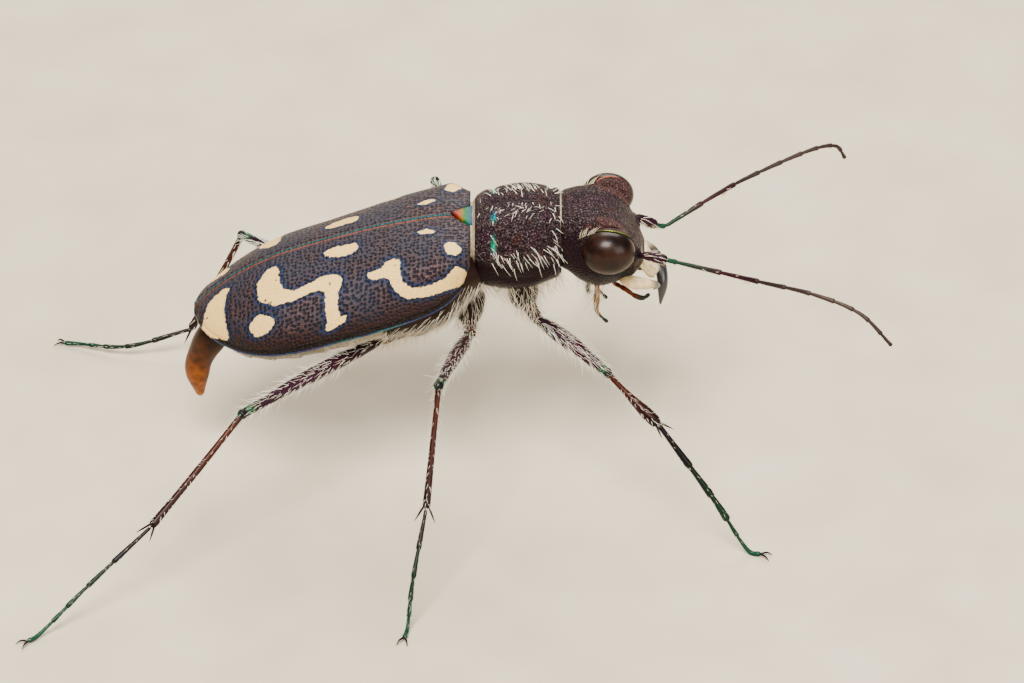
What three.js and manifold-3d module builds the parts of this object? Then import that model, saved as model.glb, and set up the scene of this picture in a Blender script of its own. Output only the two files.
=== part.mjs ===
// A tiger beetle at life size, standing on six legs.
// Millimetres. +X points to the head, +Y to the animal's left, +Z up. The feet stand on z = 0.
// The body is laid out with x = 0 at the base of the wing cases, and the whole animal is then
// moved so that the origin is on the floor, below the middle of its box.
import * as THREE from "three";
import { mergeVertices } from "three/addons/utils/BufferGeometryUtils.js";
import Module from "manifold-3d";

const wasm = await Module();
wasm.setup();

// Driving dimensions
const GAP = 0.25; // the space that two neighbouring nodes keep
const SHELL = 0.5; // wall of a wing case
const THIN = 0.22; // least half thickness of a leg or feeler, before its tip
const POINT = 0.03; // half thickness of the tip of a spur or claw
const SAME_POINT = 1e-5; // corners closer than this are one corner
const BODY_SIDES = 24;
const LIMB_SIDES = 8;
const END_REACH = 0.3; // a limb's rounded end stands out by this share of its half thickness
const END_WIDTH = 0.62; // and ends in a facet of this share of its width

// Wing cases: base, tip, and profiles along x
const CASE_BASE = -0.12;
const CASE_TIP = -8.0;
const CASE_TOP = [[-8, 5.04], [-7.5, 5.54], [-6.8, 6.1], [-5.7, 6.74], [-4.8, 7.09], [-3.8, 7.42],
  [-2.7, 7.75], [-1.6, 8], [-0.6, 8.17], [-0.1, 8.14]];
const CASE_RIM = [[-8, 4.86], [-7.5, 4.66], [-6.5, 4.66], [-5.3, 4.95], [-3.8, 5.42], [-2.1, 5.96],
  [-0.9, 6.45], [-0.1, 7.0]];
const CASE_HALF = [[-8, 0.28], [-7.85, 0.72], [-7.5, 1.18], [-6.9, 1.68], [-6.2, 2.12], [-5.3, 2.42],
  [-3.8, 2.5], [-1.7, 2.42], [-0.7, 2.25], [-0.1, 1.85]];
const CASE_SQUARE = [[-8, 2.1], [-5.2, 1.98], [-3.8, 2.08], [-2.8, 2.35], [-1.7, 3], [-0.5, 3.8]];
const CASE_LEAST = 0.35; // the hollow keeps at least this share of the half width and height
const CASE_SPREAD = 0.9; // below 1 the rows crowd less towards the tip
const NOTCH_DEGREES = 22; // how far round from the suture the notch for the scutellum reaches

// Scutellum, the small triangle between the wing cases
const SCUTELLUM = { length: 0.62, half: 0.42, depth: 0.5, proud: 0.02 };

// Prothorax
const PRO_REAR = 0.12;
const PRO_FRONT = 2.42;
const PRO_RINGS = [PRO_REAR, 0.24, 0.36, 0.5, 0.75, 1.1, 1.5, 1.85, 2.05, 2.2, 2.3, PRO_FRONT];
const PRO_POWER = 2.3;
const PRO_TOP = [[0.1, 8.3], [0.36, 8.56], [0.5, 8.52], [1.3, 8.78], [2.05, 8.76], [2.2, 8.66],
  [2.45, 8.68]];
const PRO_HALF = [[0.1, 1.4], [0.36, 1.46], [0.5, 1.42], [1.1, 1.6], [1.7, 1.62], [2.2, 1.48],
  [2.45, 1.42]];
const PRO_MIDDLE = [[0.1, 7.4], [2.45, 7.45]];
const PRO_BOTTOM = [[0.1, 6.15], [1.3, 6.0], [2.45, 6.45]];

// Middle and hind thorax, and the abdomen under the wing cases
const THORAX_REAR = -2.25;
const THORAX_FRONT = -0.14;
const THORAX_RINGS = [THORAX_REAR, -1.9, -1.4, -0.9, -0.5, THORAX_FRONT];
const ABDOMEN_TIP = -6.95;
const SEGMENT_ENDS = [-3.3, -4.1, -4.85, -5.6, -6.3];
const SEGMENT_STEP = 0.06;
const TRUNK_POWER = { upper: 2.2, belly: 2.1 };
const TRUNK_LEAST = { half: 0.3, rise: 0.2, belly: 0.4 };
const FULLNESS = { neck: 0.82, segment: 0.975, tip: 0.7 }; // of the ring there, 1 elsewhere
const BELLY_DEPTH = [[-7.4, 0.35], [-6.5, 0.62], [-5.3, 0.85], [-3.8, 0.95], [-2.3, 1.1], [-1.3, 1.45],
  [-0.6, 1.5], [-0.1, 1.35]];
const BELLY_INSET = 0.16; // the belly stands in from the edge of the wing cases by this
const TAIL = {
  path: [[-7.42, 0, 4.0], [-7.76, 0, 3.5], [-7.98, 0, 2.8], [-7.92, 0, 1.86]],
  half: [0.46, 0.5, 0.4, 0.17],
};

// Head
const HEAD_REAR = 2.68;
const HEAD_FRONT = 4.86;
const HEAD_RINGS = [HEAD_REAR, 2.8, 3.0, 3.25, 3.5, 3.8, 4.1, 4.35, 4.6, 4.76, HEAD_FRONT];
const HEAD_POWER = 2.6;
const HEAD_TOP = [[2.6, 8.56], [3.1, 8.66], [3.7, 8.56], [4.2, 8.28], [4.6, 7.8], [4.88, 7.25]];
const HEAD_HALF = [[2.6, 1.3], [3.0, 1.38], [3.6, 1.42], [4.2, 1.3], [4.6, 1.08], [4.88, 0.82]];
const HEAD_MIDDLE = [[2.6, 7.5], [3.6, 7.6], [4.3, 7.4], [4.88, 6.95]];
const HEAD_BOTTOM = [[2.6, 6.75], [3.1, 6.3], [3.6, 6.08], [4.2, 6.26], [4.88, 6.6]];
const EYE = { centre: [3.87, 1.47, 7.82], half: [0.76, 0.58, 0.66] };
const BROW = { centre: [3.9, 1.12, 8.4], half: [0.56, 0.22, 0.13] };
const LABRUM = {
  base: [4.98, 0, 6.86],
  length: 0.86,
  half: 0.74,
  slope: 1.0, // radians below level
  depth: 0.46,
  crown: 0.16, // rise of the middle line
  rounding: 0.28, // share of the length lost at each corner
  taper: 0.18, // share of the width lost at the front edge
};
const MANDIBLE_RIGHT = {
  path: [[4.42, -0.86, 6.3], [4.95, -0.8, 6.14], [5.28, -0.45, 5.86], [5.22, -0.12, 5.5]],
  half: [0.25, 0.25, 0.2, 0.07],
};
const MANDIBLE_LEFT = {
  path: [[4.42, 0.86, 6.34], [5.1, 0.86, 6.26], [5.5, 0.5, 6.0], [5.58, 0.16, 5.6], [5.48, 0, 5.05]],
  half: [0.25, 0.25, 0.2, 0.15, 0.06],
};
const MAXILLARY = {
  path: [[4.2, -0.6, 5.7], [4.5, -0.66, 5.5], [4.86, -0.7, 5.36], [5.12, -0.72, 5.4]],
  half: [0.19, 0.2, 0.18, 0.12],
};
const LABIAL = {
  path: [[3.58, -0.5, 5.78], [3.55, -0.62, 5.3], [3.66, -0.62, 5.05], [3.88, -0.6, 4.82]],
  half: [0.2, 0.2, 0.18, 0.12],
};

// Feelers: points from the root to the tip, as shares of the length where each piece ends
const FEELERS = {
  right: [[4.84, -0.92, 7.37], [5.53, -1.18, 7.36], [6.98, -1.8, 7.37], [8.14, -2.56, 7.55],
    [9.65, -3.6, 7.82], [10.91, -4.16, 7.56], [11.8, -4.72, 6.85]],
  left: [[4.77, 0.92, 7.42], [5.45, 1.18, 6.93], [5.82, 1.32, 7.04], [6.8, 1.8, 7.45],
    [7.86, 2.56, 7.64], [9.71, 3.7, 7.85], [10.52, 4.2, 7.7], [10.84, 4.5, 7.08]],
};
const FEELER_HALF = [[0, 0.24], [0.1, 0.25], [0.3, 0.23], [0.8, THIN], [1, 0.12]];
const FEELER_WAIST = [0.88, 0.9]; // each joint starts and carries on at these shares, then swells
const FEELER_KNOTS = [0.01, 0.1, 0.135, 0.3, 0.45, 0.56, 0.66, 0.75, 0.82, 0.885, 0.945, 1];
const SCAPE_KNOTS = 1;
const STEM_KNOTS = 4;
const NODE_SPACE = 1.5; // feeler nodes keep this many gaps, since their ends are rounded
const BRUSH = { length: 0.42, half: 0.17, tip: 0.07, back: 0.06, before: 0.045 };

// Legs: joints from the hip to the toe
const LEGS = {
  fore_right: { hip: [1.45, -0.78, 5.86], trochanter: [1.85, -1.2, 5.33], knee: [3.84, -2.9, 4.64],
    ankle: [5.31, -3.9, 3.53], instep: [6.88, -4.95, 1.68], toe: [8.24, -5.42, 0.13] },
  fore_left: { hip: [1.45, 0.78, 5.86], trochanter: [1.8, 1.22, 5.36], knee: [2.7, 3.7, 5.5],
    ankle: [3.2, 5.1, 4.1], instep: [3.42, 6.9, 1.9], toe: [3.42, 8.24, 0.13] },
  middle_right: { hip: [-0.1, -0.9, 5.2], trochanter: [-0.07, -1.5, 5.01], knee: [-0.94, -4.75, 5.5],
    ankle: [-1.29, -6.9, 2.77], instep: [-1.66, -8.25, 1.25], toe: [-1.9, -9.35, 0.13] },
  middle_left: { hip: [-0.1, 0.9, 5.2], trochanter: [-0.07, 1.5, 5.01], knee: [-1.12, 5.05, 5.9],
    ankle: [-1.4, 7.2, 3.1], instep: [-1.72, 8.65, 1.5], toe: [-1.95, 9.7, 0.13] },
  hind_right: { hip: [-1.7, -0.72, 4.75], trochanter: [-2.6, -1.02, 4.5], knee: [-6.51, -4.4, 4.27],
    ankle: [-9.06, -6.9, 2.14], instep: [-10.9, -8.3, 1.0], toe: [-12.48, -9.5, 0.13] },
  hind_left: { hip: [-1.7, 0.72, 4.75], trochanter: [-2.6, 1.02, 4.5], knee: [-6.8, 4.45, 4.4],
    ankle: [-8.4, 4.7, 0.86], instep: [-10.3, 4.55, 0.34], toe: [-12.2, 5.1, 0.13] },
};
const COXA_HALF = { fore: [0.44, 0.42, 0.5], middle: [0.46, 0.46, 0.42], hind: [0.62, 0.5, 0.3] };
const TROCHANTER_HALF = 0.25;
const TROCHANTER_ROOT = 0.3;
const FEMUR_HALF = { fore: 0.31, middle: 0.3, hind: 0.3 };
const FEMUR_ENDS = [0.22, 0.23];
const FEMUR_TAPER = 0.9;
const TIBIA_HALF = { fore: 0.24, middle: 0.22, hind: 0.22 };
const TARSUS_HALF = { fore: 0.23, middle: 0.21, hind: 0.2 };
const TARSOMERES = [0, 0.3, 0.51, 0.68, 0.8, 1];
const TARSOMERE_WAIST = [0.82, 0.9];
const SPUR = { length: 0.62, half: 0.15, spread: 0.5, root: 0.95 };
const CLAW = { length: 0.42, half: 0.13, spread: 0.55, height: 0.04 };
const FOOT_FLAT = 0.45; // length of the toe that lies along the floor
const HEEL_RISE = 0.03;

const point = (p) => new THREE.Vector3(...p);
const UP = new THREE.Vector3(0, 0, 1);
const AHEAD = new THREE.Vector3(1, 0, 0);

// A smooth curve through [x, value] pairs, level past its ends.
function profile(pairs) {
  const sorted = [...pairs].sort((a, b) => a[0] - b[0]);
  const slope = (i) => {
    const before = sorted[Math.max(i - 1, 0)];
    const after = sorted[Math.min(i + 1, sorted.length - 1)];
    return (after[1] - before[1]) / (after[0] - before[0]);
  };
  return (x) => {
    const bounded = THREE.MathUtils.clamp(x, sorted[0][0], sorted.at(-1)[0]);
    const i = Math.max(sorted.findIndex((pair) => pair[0] >= bounded), 1) - 1;
    const [x0, y0] = sorted[i];
    const [x1, y1] = sorted[i + 1];
    const span = x1 - x0;
    const t = (bounded - x0) / span;
    const t2 = t * t;
    const t3 = t2 * t;
    return (2 * t3 - 3 * t2 + 1) * y0 + (t3 - 2 * t2 + t) * span * slope(i)
      + (3 * t2 - 2 * t3) * y1 + (t3 - t2) * span * slope(i + 1);
  };
}

// A sine or cosine bent towards a square of the given power.
const squared = (value, power) => Math.sign(value) * Math.abs(value) ** (2 / power);

// Even steps from one number to another.
function steps(from, to, count) {
  return Array.from({ length: count + 1 }, (_, i) => from + ((to - from) * i) / count);
}

// A geometry as a solid that can be joined and cut. A mirrored form is turned right side out.
function solid(geometry) {
  const bare = geometry.clone();
  bare.deleteAttribute("normal");
  bare.deleteAttribute("uv");
  const merged = mergeVertices(bare, SAME_POINT);
  const vertProperties = new Float32Array(merged.attributes.position.array);
  const triVerts = new Uint32Array(merged.index.array);
  const made = () => new wasm.Manifold(new wasm.Mesh({ numProp: 3, vertProperties, triVerts }));
  if (made().volume() > 0) return made();
  for (let i = 0; i < triVerts.length; i += 3) {
    [triVerts[i + 1], triVerts[i + 2]] = [triVerts[i + 2], triVerts[i + 1]];
  }
  return made();
}

// A cylinder whose rings are moved to place(ring, angle), closed by a fan at each end.
function formed(sides, rings, place) {
  const last = rings.length - 1;
  const geometry = new THREE.CylinderGeometry(1, 1, 1, sides, last);
  const position = geometry.attributes.position;
  const angleOf = (k) => (2 * Math.PI * (k % sides)) / sides;
  for (let i = 0; i < position.count; i++) {
    const ring = rings[Math.round((0.5 - position.getY(i)) * last)];
    const x = position.getX(i);
    const z = position.getZ(i);
    const moved = new THREE.Vector3();
    if (Math.hypot(x, z) > 0.5) {
      moved.copy(place(ring, angleOf(Math.round((Math.atan2(z, x) / (2 * Math.PI) + 1) * sides))));
    } else {
      for (let k = 0; k < sides; k++) moved.addScaledVector(place(ring, angleOf(k)), 1 / sides);
    }
    position.setXYZ(i, moved.x, moved.y, moved.z);
  }
  return solid(geometry);
}

// A box of many facets whose points are moved to place(s, q, h), each from 0 to 1.
function plate(along, across, place) {
  const geometry = new THREE.BoxGeometry(1, 1, 1, along, across, 1);
  const position = geometry.attributes.position;
  for (let i = 0; i < position.count; i++) {
    const moved = place(position.getX(i) + 0.5, position.getY(i) + 0.5, 0.5 - position.getZ(i));
    position.setXYZ(i, moved.x, moved.y, moved.z);
  }
  return solid(geometry);
}

// A smooth curve through points given as number triples.
const smooth = (path) => new THREE.CatmullRomCurve3(path.map(point), false, "centripetal");

// A rounded limb along a curve through the path, with a half thickness at each path point.
function limb({ path, half, sides = LIMB_SIDES, rings = 2 * (path.length - 1) }, extra = 0) {
  const curve = smooth(path);
  const thickness = profile(half.map((value, i) => [i / (half.length - 1), value]));
  const start = curve.getPoint(0);
  const end = curve.getPoint(1);
  const heads = [-1, ...steps(0, 1, rings), 2];
  const within = (ring) => THREE.MathUtils.clamp(ring, 0, 1);
  const chord = end.clone().sub(start).normalize();
  let carried = new THREE.Vector3().crossVectors(chord, Math.abs(chord.z) > 0.8 ? AHEAD : UP);
  const sideways = new Map(heads.map((ring) => {
    const tangent = curve.getTangent(within(ring));
    carried = carried.clone().addScaledVector(tangent, -carried.dot(tangent)).normalize();
    return [ring, carried];
  }));
  return formed(sides, heads, (ring, angle) => {
    const t = within(ring);
    const tangent = curve.getTangent(t);
    const side = sideways.get(ring);
    const over = new THREE.Vector3().crossVectors(side, tangent);
    const radius = thickness(t) + extra;
    const beyond = ring - t;
    const width = beyond === 0 ? radius : radius * END_WIDTH;
    const push = beyond * END_REACH * radius + Math.sign(beyond) * extra;
    return curve.getPoint(t)
      .addScaledVector(tangent, push)
      .addScaledVector(side, width * Math.cos(angle))
      .addScaledVector(over, width * Math.sin(angle));
  });
}

// An egg shape with three half sizes.
function egg(centre, half, extra = 0, width = 10, height = 8) {
  const geometry = new THREE.SphereGeometry(1, width, height);
  geometry.rotateX(Math.PI / 2);
  geometry.scale(...half.map((value) => value + extra));
  geometry.translate(...centre);
  return solid(geometry);
}

const join = (first, ...others) => others.reduce((sum, other) => sum.add(other), first);
const cut = (first, ...others) => others.reduce((rest, other) => rest.subtract(other), first);
const mirrored = (p) => [p[0], -p[1], p[2]];
const mirroredLimb = (form) => ({ ...form, path: form.path.map(mirrored) });
const largest = (body) => body.decompose().sort((a, b) => b.volume() - a.volume())[0];

// Finishes of the outer skin
function finish(color, roughness, metalness) {
  return new THREE.MeshStandardMaterial({ color, roughness, metalness });
}
const MATERIALS = {
  case: finish("#4a3a38", 0.42, 0.35),
  bronze: finish("#4b403e", 0.5, 0.4),
  scutellum: finish("#5f7a5c", 0.3, 0.6),
  eye: finish("#3a2a26", 0.12, 0),
  cream: finish("#e6d6b4", 0.45, 0),
  feeler: finish("#4a3a3c", 0.5, 0.3),
  leg: finish("#5a2f3a", 0.4, 0.4),
  foot: finish("#2f3f40", 0.4, 0.4),
  belly: finish("#6a5850", 0.55, 0.3),
  tail: finish("#a5561d", 0.35, 0),
};

const animal = new THREE.Group();

// Adds one node: the largest closed surface of a solid, as a named mesh.
function node(name, body, material) {
  const { vertProperties, triVerts, numProp } = largest(body).getMesh();
  const positions = new Float32Array((vertProperties.length / numProp) * 3);
  for (let i = 0; i < positions.length / 3; i++) {
    positions.set(vertProperties.subarray(i * numProp, i * numProp + 3), i * 3);
  }
  const geometry = new THREE.BufferGeometry();
  geometry.setAttribute("position", new THREE.BufferAttribute(positions, 3));
  geometry.setIndex(new THREE.BufferAttribute(new Uint32Array(triVerts), 1));
  geometry.computeVertexNormals();
  const mesh = new THREE.Mesh(geometry, material);
  mesh.name = name;
  animal.add(mesh);
}

// Wing cases
const caseTop = profile(CASE_TOP);
const caseRim = profile(CASE_RIM);
const caseHalf = profile(CASE_HALF);
const caseSquare = profile(CASE_SQUARE);

// One wing case as a curved plate with a hollow below; its notch leaves room for the scutellum
function wingCase(side) {
  return plate(24, 11, (s, q, h) => {
    const nearSuture = Math.max(0, 1 - (q * 90) / NOTCH_DEGREES);
    const base = CASE_BASE - (SCUTELLUM.length + GAP) * nearSuture;
    const x = THREE.MathUtils.lerp(base, CASE_TIP, Math.sin((s * Math.PI) / 2) ** CASE_SPREAD);
    const half = caseHalf(x);
    const height = caseTop(x) - caseRim(x);
    const power = caseSquare(x);
    const inner = half - Math.min(SHELL, half * (1 - CASE_LEAST)) * h;
    const rise = height - Math.min(SHELL, height * (1 - CASE_LEAST)) * h;
    const angle = (q * Math.PI) / 2;
    const y = GAP / 2 + (inner - GAP / 2) * squared(Math.sin(angle), power);
    return new THREE.Vector3(x, side * y, caseRim(x) + rise * squared(Math.cos(angle), power));
  });
}
node("elytron_right", wingCase(-1), MATERIALS.case);
node("elytron_left", wingCase(1), MATERIALS.case);

// Scutellum: a wedge that fills the notch between the two wing cases
const scutellumCorners = [
  [CASE_BASE - SCUTELLUM.length, 0],
  [CASE_BASE, -SCUTELLUM.half],
  [CASE_BASE, SCUTELLUM.half],
];
const scutellum = formed(3, [0, 1], (ring, angle) => {
  const [x, y] = scutellumCorners[Math.round((angle / (2 * Math.PI)) * 3)];
  return new THREE.Vector3(x, y, caseTop(x) + SCUTELLUM.proud - ring * SCUTELLUM.depth);
});

// Prothorax
const proHalf = profile(PRO_HALF);
const proTop = profile(PRO_TOP);
const proMiddle = profile(PRO_MIDDLE);
const proBottom = profile(PRO_BOTTOM);
const pronotum = formed(BODY_SIDES, PRO_RINGS, (x, angle) => {
  const middle = proMiddle(x);
  const height = Math.sin(angle) > 0 ? proTop(x) - middle : middle - proBottom(x);
  const y = proHalf(x) * squared(Math.cos(angle), PRO_POWER);
  return new THREE.Vector3(x, y, middle + height * squared(Math.sin(angle), PRO_POWER));
});

// Trunk under the wing cases: the upper part stays clear of their inner wall, the belly is wider
const bellyDepth = profile(BELLY_DEPTH);
function trunk(x, angle, fullness) {
  const wall = SHELL + GAP;
  const seam = caseRim(x) - GAP;
  const upper = Math.sin(angle) > 1e-6;
  const power = upper ? TRUNK_POWER.upper : TRUNK_POWER.belly;
  const half = upper
    ? Math.max(caseHalf(x) - wall, TRUNK_LEAST.half)
    : Math.max(caseHalf(x) - BELLY_INSET, TRUNK_LEAST.belly);
  const height = upper ? Math.max(caseTop(x) - wall - seam, TRUNK_LEAST.rise) : bellyDepth(x) - GAP;
  const y = half * fullness * squared(Math.cos(angle), power);
  return new THREE.Vector3(x, y, seam + height * fullness * squared(Math.sin(angle), power));
}
const thorax = formed(BODY_SIDES, THORAX_RINGS,
  (x, angle) => trunk(x, angle, x === THORAX_FRONT ? FULLNESS.neck : 1));
const abdomenRings = [
  THORAX_REAR - GAP,
  ...SEGMENT_ENDS.flatMap((x) => [x + SEGMENT_STEP, x]),
  ABDOMEN_TIP,
];
const abdomen = formed(BODY_SIDES, abdomenRings, (x, angle) => {
  const stepped = SEGMENT_ENDS.includes(x) ? FULLNESS.segment : 1;
  return trunk(x, angle, x === ABDOMEN_TIP ? FULLNESS.tip : stepped);
});

// Legs, from the hip out; each piece is cut clear of the one that carries it
const between = (a, b, t) => a.map((value, i) => value + (b[i] - value) * t);
const shifted = (p, direction, length) => p.map((value, i) => value + direction.getComponent(i) * length);

function coxa(leg, kind, extra = 0) {
  const neck = limb({ path: [leg.hip, leg.trochanter], half: [TROCHANTER_ROOT, TROCHANTER_HALF] }, extra);
  return join(egg(leg.hip, COXA_HALF[kind], extra), neck);
}

function femur(leg, kind, extra = 0) {
  const direction = point(leg.knee).sub(point(leg.trochanter)).normalize();
  const start = shifted(leg.trochanter, direction, GAP + TROCHANTER_HALF);
  const half = FEMUR_HALF[kind];
  const path = [start, between(start, leg.knee, 0.3), between(start, leg.knee, 0.7), leg.knee];
  return limb({ path, half: [FEMUR_ENDS[0], half, half * FEMUR_TAPER, FEMUR_ENDS[1]] }, extra);
}

function tibia(leg, kind, extra = 0) {
  const direction = point(leg.ankle).sub(point(leg.knee)).normalize();
  const half = TIBIA_HALF[kind];
  const start = shifted(leg.knee, direction, GAP + THIN);
  const path = [start, between(start, leg.ankle, 0.5), leg.ankle];
  const shaft = limb({ path, half: [THIN, THIN, half] }, extra);
  const root = between(leg.knee, leg.ankle, SPUR.root);
  const across = new THREE.Vector3().crossVectors(direction, UP).normalize();
  const spurs = [-1, 1].map((side) => {
    const outward = direction.clone().addScaledVector(across, side * SPUR.spread).normalize();
    const tip = shifted(root, outward, SPUR.length + half);
    return limb({ path: [root, tip], half: [SPUR.half, POINT], sides: 4, rings: 1 }, extra);
  });
  return join(shaft, ...spurs);
}

function tarsus(leg, kind) {
  const direction = point(leg.instep).sub(point(leg.ankle)).normalize();
  const start = shifted(leg.ankle, direction, GAP + TIBIA_HALF[kind]);
  const heading = point(leg.toe).sub(point(leg.instep)).setZ(0).normalize();
  const heel = shifted(leg.toe, heading, -FOOT_FLAT);
  heel[2] += HEEL_RISE;
  const curve = smooth([start, leg.instep, heel, leg.toe]);
  const half = TARSUS_HALF[kind];
  const widths = [...TARSOMERE_WAIST, 1].map((share) => half * share);
  const joints = TARSOMERES.slice(1).map((end, i) => {
    const from = curve.getPointAt(TARSOMERES[i]).toArray();
    const middle = curve.getPointAt((TARSOMERES[i] + end) / 2).toArray();
    const to = curve.getPointAt(end).toArray();
    return limb({ path: [from, middle, to], half: widths, sides: 6, rings: 2 });
  });
  const across = new THREE.Vector3().crossVectors(heading, UP).normalize();
  const claws = [-1, 1].map((side) => {
    const outward = heading.clone().addScaledVector(across, side * CLAW.spread).normalize();
    const tip = shifted(leg.toe, outward, CLAW.length + half);
    tip[2] = CLAW.height;
    return limb({ path: [leg.toe, tip], half: [CLAW.half, POINT], sides: 4, rings: 1 });
  });
  return join(...joints, ...claws).trimByPlane([0, 0, 1], 0);
}

// The room that the hips of one kind of leg need in the body
const sockets = (kind) => Object.entries(LEGS)
  .filter(([name]) => name.startsWith(kind))
  .map(([, leg]) => coxa(leg, kind, GAP));

// Head with its eye sockets and brows
const headHalf = profile(HEAD_HALF);
const headTop = profile(HEAD_TOP);
const headMiddle = profile(HEAD_MIDDLE);
const headBottom = profile(HEAD_BOTTOM);
const skull = formed(BODY_SIDES, HEAD_RINGS, (x, angle) => {
  const middle = headMiddle(x);
  const height = Math.sin(angle) > 0 ? headTop(x) - middle : middle - headBottom(x);
  const y = headHalf(x) * squared(Math.cos(angle), HEAD_POWER);
  return new THREE.Vector3(x, y, middle + height * squared(Math.sin(angle), HEAD_POWER));
});
const sides = { right: -1, left: 1 };
const sided = (p, side) => [p[0], p[1] * side, p[2]];
const eye = (side, extra = 0) => egg(sided(EYE.centre, side), EYE.half, extra, 18, 12);
const brows = Object.values(sides).map((side) => egg(sided(BROW.centre, side), BROW.half));

// Labrum: a rounded shield that slopes down in front of the jaws
const labrum = (extra = 0) => plate(6, 8, (s, q, h) => {
  const across = 2 * q - 1;
  const reach = LABRUM.length * (1 - LABRUM.rounding * across * across) + 2 * extra;
  const along = s * reach - extra;
  const out = LABRUM.base[0] + Math.cos(LABRUM.slope) * along;
  const down = LABRUM.base[2] - Math.sin(LABRUM.slope) * along;
  const crown = LABRUM.crown * (1 - across * across) * (1 - s / 2);
  const lift = crown + extra - h * (LABRUM.depth + 2 * extra);
  const width = (LABRUM.half + extra) * (1 - LABRUM.taper * s * s);
  return new THREE.Vector3(out + Math.sin(LABRUM.slope) * lift, across * width,
    down + Math.cos(LABRUM.slope) * lift);
});

// Feelers
const feelerHalf = profile(FEELER_HALF);
function feelerLength(side, first, last) {
  const curve = smooth(FEELERS[side]);
  const space = (NODE_SPACE * GAP) / curve.getLength();
  const joints = [];
  for (let i = first; i < last; i++) {
    const from = FEELER_KNOTS[i] + (i === first && i > 0 ? space : 0);
    const to = FEELER_KNOTS[i + 1];
    const path = [from, (from + to) / 2, to].map((t) => curve.getPointAt(t).toArray());
    const half = [...FEELER_WAIST.map((share) => feelerHalf(from) * share), feelerHalf(to)];
    joints.push(limb({ path, half, sides: 6, rings: 2 }));
  }
  return join(...joints);
}

// The brush of stiff hairs under the fourth feeler joint, as one tapered tuft
function feelerBrush(side) {
  const root = smooth(FEELERS[side]).getPointAt(FEELER_KNOTS[STEM_KNOTS] - BRUSH.before).toArray();
  const tip = [root[0] - BRUSH.back, root[1], root[2] - BRUSH.length];
  return limb({ path: [root, tip], half: [BRUSH.half, BRUSH.tip], sides: 5, rings: 1 });
}

// Putting the nodes together
node("scutellum", scutellum, MATERIALS.scutellum);
node("pronotum", cut(pronotum, ...sockets("fore")), MATERIALS.bronze);
node("thorax", cut(thorax, ...sockets("middle"), ...sockets("hind")), MATERIALS.belly);
node("abdomen", cut(abdomen, ...sockets("hind")), MATERIALS.belly);
node("abdomen_tip", limb({ ...TAIL, sides: 10 }), MATERIALS.tail);

const jaws = { right: MANDIBLE_RIGHT, left: MANDIBLE_LEFT };
const jawRoom = Object.values(jaws).map((form) => limb(form, GAP));
const headRoom = [eye(sides.right, GAP), eye(sides.left, GAP), labrum(GAP), ...jawRoom];
node("head", cut(join(skull, ...brows), ...headRoom), MATERIALS.bronze);
node("labrum", cut(labrum(), ...jawRoom), MATERIALS.cream);
node("mandible_right", limb(jaws.right), MATERIALS.cream);
node("mandible_left", cut(limb(jaws.left), limb(jaws.right, GAP)), MATERIALS.cream);

for (const [name, side] of Object.entries(sides)) {
  const palp = side < 0 ? MAXILLARY : mirroredLimb(MAXILLARY);
  const lipPalp = side < 0 ? LABIAL : mirroredLimb(LABIAL);
  node(`eye_${name}`, eye(side), MATERIALS.eye);
  node(`maxillary_palp_${name}`, limb({ ...palp, sides: 6 }), MATERIALS.feeler);
  node(`labial_palp_${name}`, limb({ ...lipPalp, sides: 6 }), MATERIALS.cream);
  const stem = feelerLength(name, SCAPE_KNOTS, STEM_KNOTS);
  node(`antenna_${name}_scape`, feelerLength(name, 0, SCAPE_KNOTS), MATERIALS.feeler);
  node(`antenna_${name}_stem`, join(stem, feelerBrush(name)), MATERIALS.feeler);
  node(`antenna_${name}_whip`, feelerLength(name, STEM_KNOTS, FEELER_KNOTS.length - 1), MATERIALS.feeler);
}

for (const [name, leg] of Object.entries(LEGS)) {
  const kind = name.split("_")[0];
  node(`leg_${name}_coxa`, coxa(leg, kind), MATERIALS.leg);
  node(`leg_${name}_femur`, cut(femur(leg, kind), coxa(leg, kind, GAP)), MATERIALS.leg);
  node(`leg_${name}_tibia`, cut(tibia(leg, kind), femur(leg, kind, GAP)), MATERIALS.leg);
  node(`leg_${name}_tarsus`, cut(tarsus(leg, kind), tibia(leg, kind, GAP)), MATERIALS.foot);
}

// The origin goes on the floor, below the middle of the box
const box = new THREE.Box3().setFromObject(animal);
animal.position.set(-(box.min.x + box.max.x) / 2, -(box.min.y + box.max.y) / 2, -box.min.z);

export default animal;
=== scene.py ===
"""A tiger beetle at life size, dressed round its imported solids."""

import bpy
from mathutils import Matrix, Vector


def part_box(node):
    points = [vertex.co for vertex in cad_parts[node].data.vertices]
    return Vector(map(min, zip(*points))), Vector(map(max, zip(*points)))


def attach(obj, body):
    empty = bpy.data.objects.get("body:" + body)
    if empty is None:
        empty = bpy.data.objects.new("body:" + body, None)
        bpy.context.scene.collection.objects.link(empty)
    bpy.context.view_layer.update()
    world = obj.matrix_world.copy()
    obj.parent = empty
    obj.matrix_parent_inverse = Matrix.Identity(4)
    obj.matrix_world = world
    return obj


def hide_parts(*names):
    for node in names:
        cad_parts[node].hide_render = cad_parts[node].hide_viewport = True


bl_info = {
    "name": "Tiger beetle",
    "version": (1, 0, 0),
    "blender": (4, 5, 0),
    "location": "View3D > Sidebar > Beetle",
    "description": "Models the skin, eyes, feelers, legs and hairs of a tiger beetle",
    "category": "Add Mesh",
}

import math

import bpy
import numpy as np
from mathutils import Vector

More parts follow.
